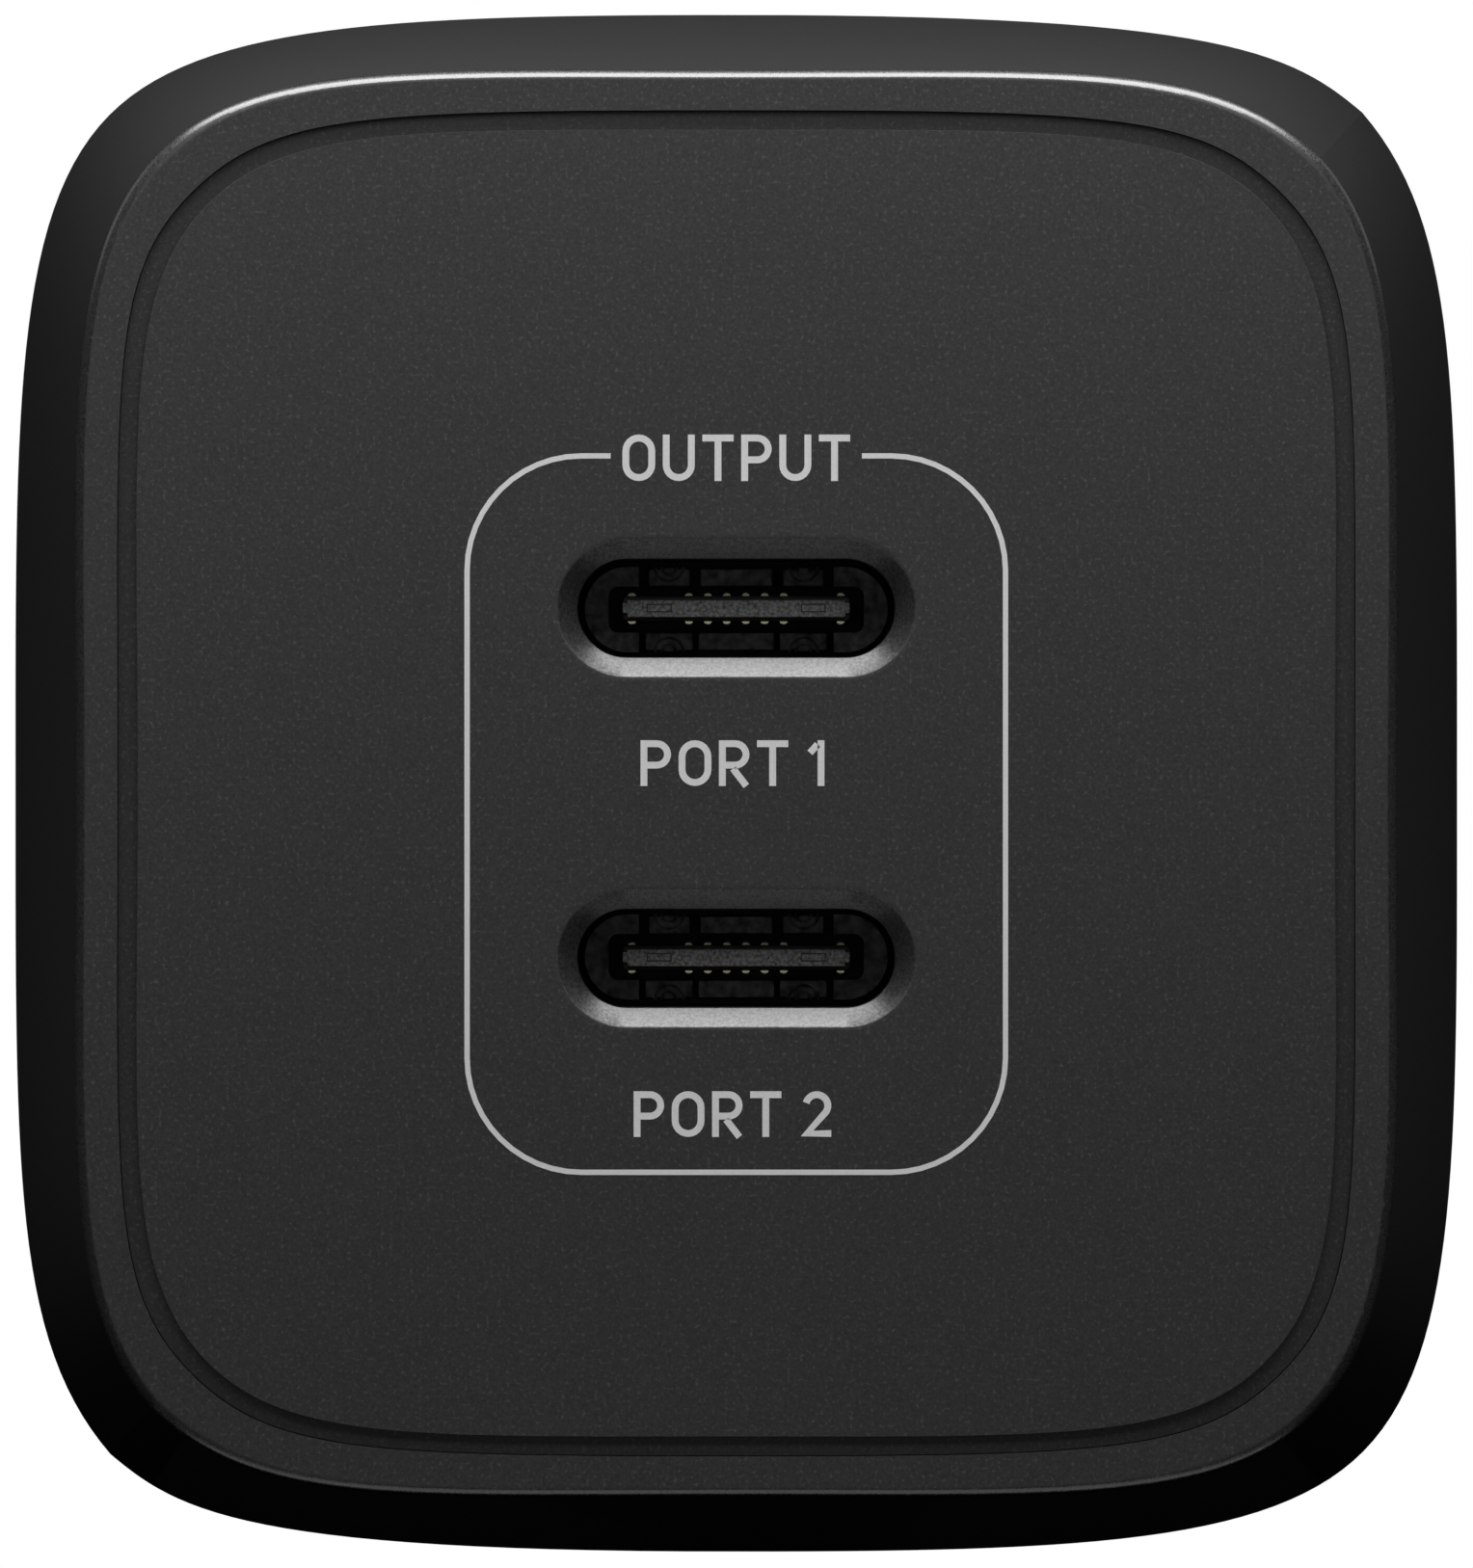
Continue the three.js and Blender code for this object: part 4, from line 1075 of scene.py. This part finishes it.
def make_rotor():
    """The barrel, squared off where it meets the cover's face, with its shaft and blade slots."""
    length = around(0, ROTOR_HALF_LENGTH)
    axis = (AXIS_Y, AXIS_Z)
    barrel = rod_solid("x", ROTOR_RADIUS, length, axis, steps=144)
    corner = box_solid(length, (AXIS_Y, AXIS_Y + ROTOR_RADIUS), (AXIS_Z - ROTOR_RADIUS, AXIS_Z))
    shaft = rod_solid("x", SHAFT_RADIUS, around(0, SHAFT_HALF_LENGTH), axis)
    slots = []
    play = 0.1
    root, lug = BLADE_ROOT_HALF + play, BLADE_LUG_HALF + play
    for side in (-1, 1):
        across = around(side * BLADE_SPACING / 2, BLADE_THICKNESS / 2 + play)
        slots += [
            box_solid(across, around(AXIS_Y, root), (AXIS_Z - ROTOR_RADIUS - 1, AXIS_Z + 1 + play)),
            box_solid(across, around(AXIS_Y, lug), (AXIS_Z, AXIS_Z + ROTOR_RADIUS + 1)),
        ]
    body = combine("DIFFERENCE", combine("UNION", barrel, corner, shaft), *slots)
    rounded_piece(body, 0.12, "folding_barrel", "rotor", "rotor", "plug_rotor", PLUG)


def make_blade(side):
    """A blade with rounded edges, a tapered tip and a locking hole."""
    half, root, lug = BLADE_WIDTH / 2, BLADE_ROOT_HALF, BLADE_LUG_HALF
    shoulder = -ROTOR_RADIUS - 0.05
    points = [(-lug, BLADE_LUG_TOP), (-lug, 1), (-root, 1), (-root, shoulder)]
    points += [(-half, shoulder), (-half, BLADE_TIP_LENGTH - BLADE_REACH)]
    points += arc((-2.3, 0.35 - BLADE_REACH), 0.35, 215, 270, 4)
    outline = points + [(-y, z) for y, z in reversed(points)]
    ends = around(side * BLADE_SPACING / 2, BLADE_THICKNESS / 2)
    builder = Builder()
    builder.solid([[(x, AXIS_Y + y, AXIS_Z + z) for y, z in outline] for x in ends])
    hole_centre = (AXIS_Y, AXIS_Z - LOCKING_HOLE_REACH)
    hole = rod_solid("x", LOCKING_HOLE_RADIUS, (ends[0] - 1, ends[1] + 1), hole_centre)
    blade = combine("DIFFERENCE", builder.mesh(), hole)
    name = "left" if side < 0 else "right"
    rounded_piece(blade, 0.2, f"mains_blade_{name}", "blade", "blade", f"plug_blade_{name}", PLUG)


# ---- Parts kept from the CAD model ----


def soften(obj, width):
    """Welds a CAD node's triangles into flat faces and rounds its edges a little."""
    weld = obj.modifiers.new("weld", "WELD")
    weld.merge_threshold = 0.001 * MM
    flat = obj.modifiers.new("flat", "DECIMATE")
    flat.decimate_type = "DISSOLVE"
    flat.angle_limit = math.radians(1)
    bevel = obj.modifiers.new("edges", "BEVEL")
    bevel.width = width * MM
    bevel.segments = 2
    bevel.limit_method = "ANGLE"
    bevel.angle_limit = math.radians(40)
    for face in obj.data.polygons:
        face.use_smooth = True
    even_normals(obj)


def finish_cad_parts():
    """Gives each CAD node that still shows its slot's material and softer edges."""
    slots = {part["node"]: part["material_slot"] for part in frame["record"]["subparts"]}
    for name, obj in frame["nodes"].items():
        if obj.hide_render:
            continue
        obj.data.materials.clear()
        obj.data.materials.append(MATERIALS[slots[name]])
        soften(obj, 0.08)


# ---- Stage ----

FLOOR_DROP = 0.7
FLOOR_RADIUS = 3000
SHADOW_NEAR = 14
SHADOW_FAR = 29
SHADOW_SHARE = 0.75
FLOOR_GLOW = 1.02


def make_floor():
    """A pale glowing floor, which takes a soft shadow close round the object."""
    bm = bmesh.new()
    bmesh.ops.create_circle(bm, cap_ends=True, segments=96, radius=FLOOR_RADIUS * MM)
    mesh = bpy.data.meshes.new("floor")
    bm.to_mesh(mesh)
    bm.free()
    floor = bpy.data.objects.new("floor", mesh)
    bpy.context.scene.collection.objects.link(floor)
    floor.location = (0, cad_box[0].y / 2, cad_box[0].z - FLOOR_DROP * MM)
    floor.visible_diffuse = False
    floor.visible_glossy = False
    material = bpy.data.materials.new("floor")
    material.use_nodes = True
    tree = material.node_tree
    tree.nodes.clear()
    place = tree.nodes.new("ShaderNodeTexCoord")
    distance = tree.nodes.new("ShaderNodeVectorMath")
    distance.operation = "LENGTH"
    near = tree.nodes.new("ShaderNodeMapRange")
    near.interpolation_type = "SMOOTHSTEP"
    set_inputs(near, {"From Min": SHADOW_NEAR * MM, "From Max": SHADOW_FAR * MM})
    set_inputs(near, {"To Min": SHADOW_SHARE, "To Max": 0.0})
    diffuse = tree.nodes.new("ShaderNodeBsdfDiffuse")
    diffuse.inputs["Color"].default_value = (*grey(0.9), 1)
    glow = tree.nodes.new("ShaderNodeEmission")
    glow.inputs["Strength"].default_value = FLOOR_GLOW
    mix = tree.nodes.new("ShaderNodeMixShader")
    output = tree.nodes.new("ShaderNodeOutputMaterial")
    links = tree.links
    links.new(place.outputs["Object"], distance.inputs[0])
    links.new(distance.outputs["Value"], near.inputs["Value"])
    links.new(near.outputs["Result"], mix.inputs["Fac"])
    links.new(glow.outputs["Emission"], mix.inputs[1])
    links.new(diffuse.outputs["BSDF"], mix.inputs[2])
    links.new(mix.outputs["Shader"], output.inputs["Surface"])
    mesh.materials.append(material)


def softbox(name, place, target, size, power):
    """A rectangular area light of some watts, placed and aimed in millimetres."""
    data = bpy.data.lights.new(name, "AREA")
    data.shape = "RECTANGLE"
    data.size, data.size_y = size[0] * MM, size[1] * MM
    data.energy = power
    light = bpy.data.objects.new(name, data)
    bpy.context.scene.collection.objects.link(light)
    light.location = Vector(place) * MM
    aim = (Vector(target) - Vector(place)).normalized()
    light.rotation_mode = "QUATERNION"
    light.rotation_quaternion = aim.to_track_quat("-Z", "Y")
    light.visible_camera = False


# Each light is (name, place, target, size, watts). They make a soft sweep from overhead round the
# front to below, so the face darkens downwards, with a light behind and one on each side.
LIGHTS = (
    ("above", (0, -63, 118), (0, -44, 10), (160, 40), 0.175),
    ("above_and_ahead", (0, -115, 94), (0, -44, 10), (160, 40), 0.041),
    ("ahead_high", (0, -147, 48), (0, -44, 10), (160, 40), 0.034),
    ("ahead", (0, -300, 0), (0, -44, 0), (300, 100), 0.0195),
    ("ahead_and_below", (0, -260, -100), (0, -44, 0), (300, 60), 0.05),
    ("below", (0, -180, -170), (0, -44, 0), (300, 60), 0.035),
    ("under", (0, -60, -150), (0, -44, 0), (200, 40), 0.017),
    ("overhead", (0, -10, 200), (0, -20, 0), (300, 100), 0.06),
    ("behind", (0, 400, 0), (0, 0, 0), (28, 30), 0.6),
    ("left_side", (-280, 30, 160), (0, -20, 0), (160, 160), 0.04),
    ("right_side", (280, 30, 160), (0, -20, 0), (160, 160), 0.04),
)

AMBIENT = 0.0012


def make_world():
    """White to the camera, and a faint even light to everything else."""
    world = bpy.data.worlds.new("studio")
    bpy.context.scene.world = world
    world.use_nodes = True
    tree = world.node_tree
    tree.nodes.clear()
    seen = tree.nodes.new("ShaderNodeBackground")
    seen.inputs["Color"].default_value = (1, 1, 1, 1)
    ambient = tree.nodes.new("ShaderNodeBackground")
    set_inputs(ambient, {"Color": (1, 1, 1, 1), "Strength": AMBIENT})
    rays = tree.nodes.new("ShaderNodeLightPath")
    mix = tree.nodes.new("ShaderNodeMixShader")
    output = tree.nodes.new("ShaderNodeOutputWorld")
    links = tree.links
    links.new(rays.outputs["Is Camera Ray"], mix.inputs["Fac"])
    links.new(ambient.outputs["Background"], mix.inputs[1])
    links.new(seen.outputs["Background"], mix.inputs[2])
    links.new(mix.outputs["Shader"], output.inputs["Surface"])


CAMERA_DISTANCE = 1000
CAMERA_X, CAMERA_Z = 0.006, -0.019
SEEN_HEIGHT = 41.19
SENSOR = 36


def make_camera():
    """A long lens straight ahead of the face, which sees SEEN_HEIGHT in its plane."""
    data = bpy.data.cameras.new("camera")
    data.sensor_width = SENSOR
    data.lens = SENSOR * CAMERA_DISTANCE / SEEN_HEIGHT
    data.clip_start = 0.1
    data.clip_end = 20
    camera = bpy.data.objects.new("camera", data)
    bpy.context.scene.collection.objects.link(camera)
    camera.location = Vector((CAMERA_X, behind_face(-CAMERA_DISTANCE), CAMERA_Z)) * MM
    camera.rotation_euler = (math.pi / 2, 0, 0)
    bpy.context.scene.camera = camera


make_camera()
make_housing()
make_face_plate()
make_print()
for port_name, port_z in PORT_HEIGHTS.items():
    make_port_shell(port_name, port_z)
    make_port_tongue(port_name, port_z)
    make_port_base(port_name, port_z)
    make_port_nose(port_name, port_z)
    make_port_latch(port_name, port_z)
    make_port_contacts(port_name, port_z)
make_back_cover()
make_rotor()
for blade_side in (-1, 1):
    make_blade(blade_side)
finish_cad_parts()
make_floor()
for light in LIGHTS:
    softbox(*light)
make_world()
bpy.context.scene.view_settings.view_transform = "Standard"
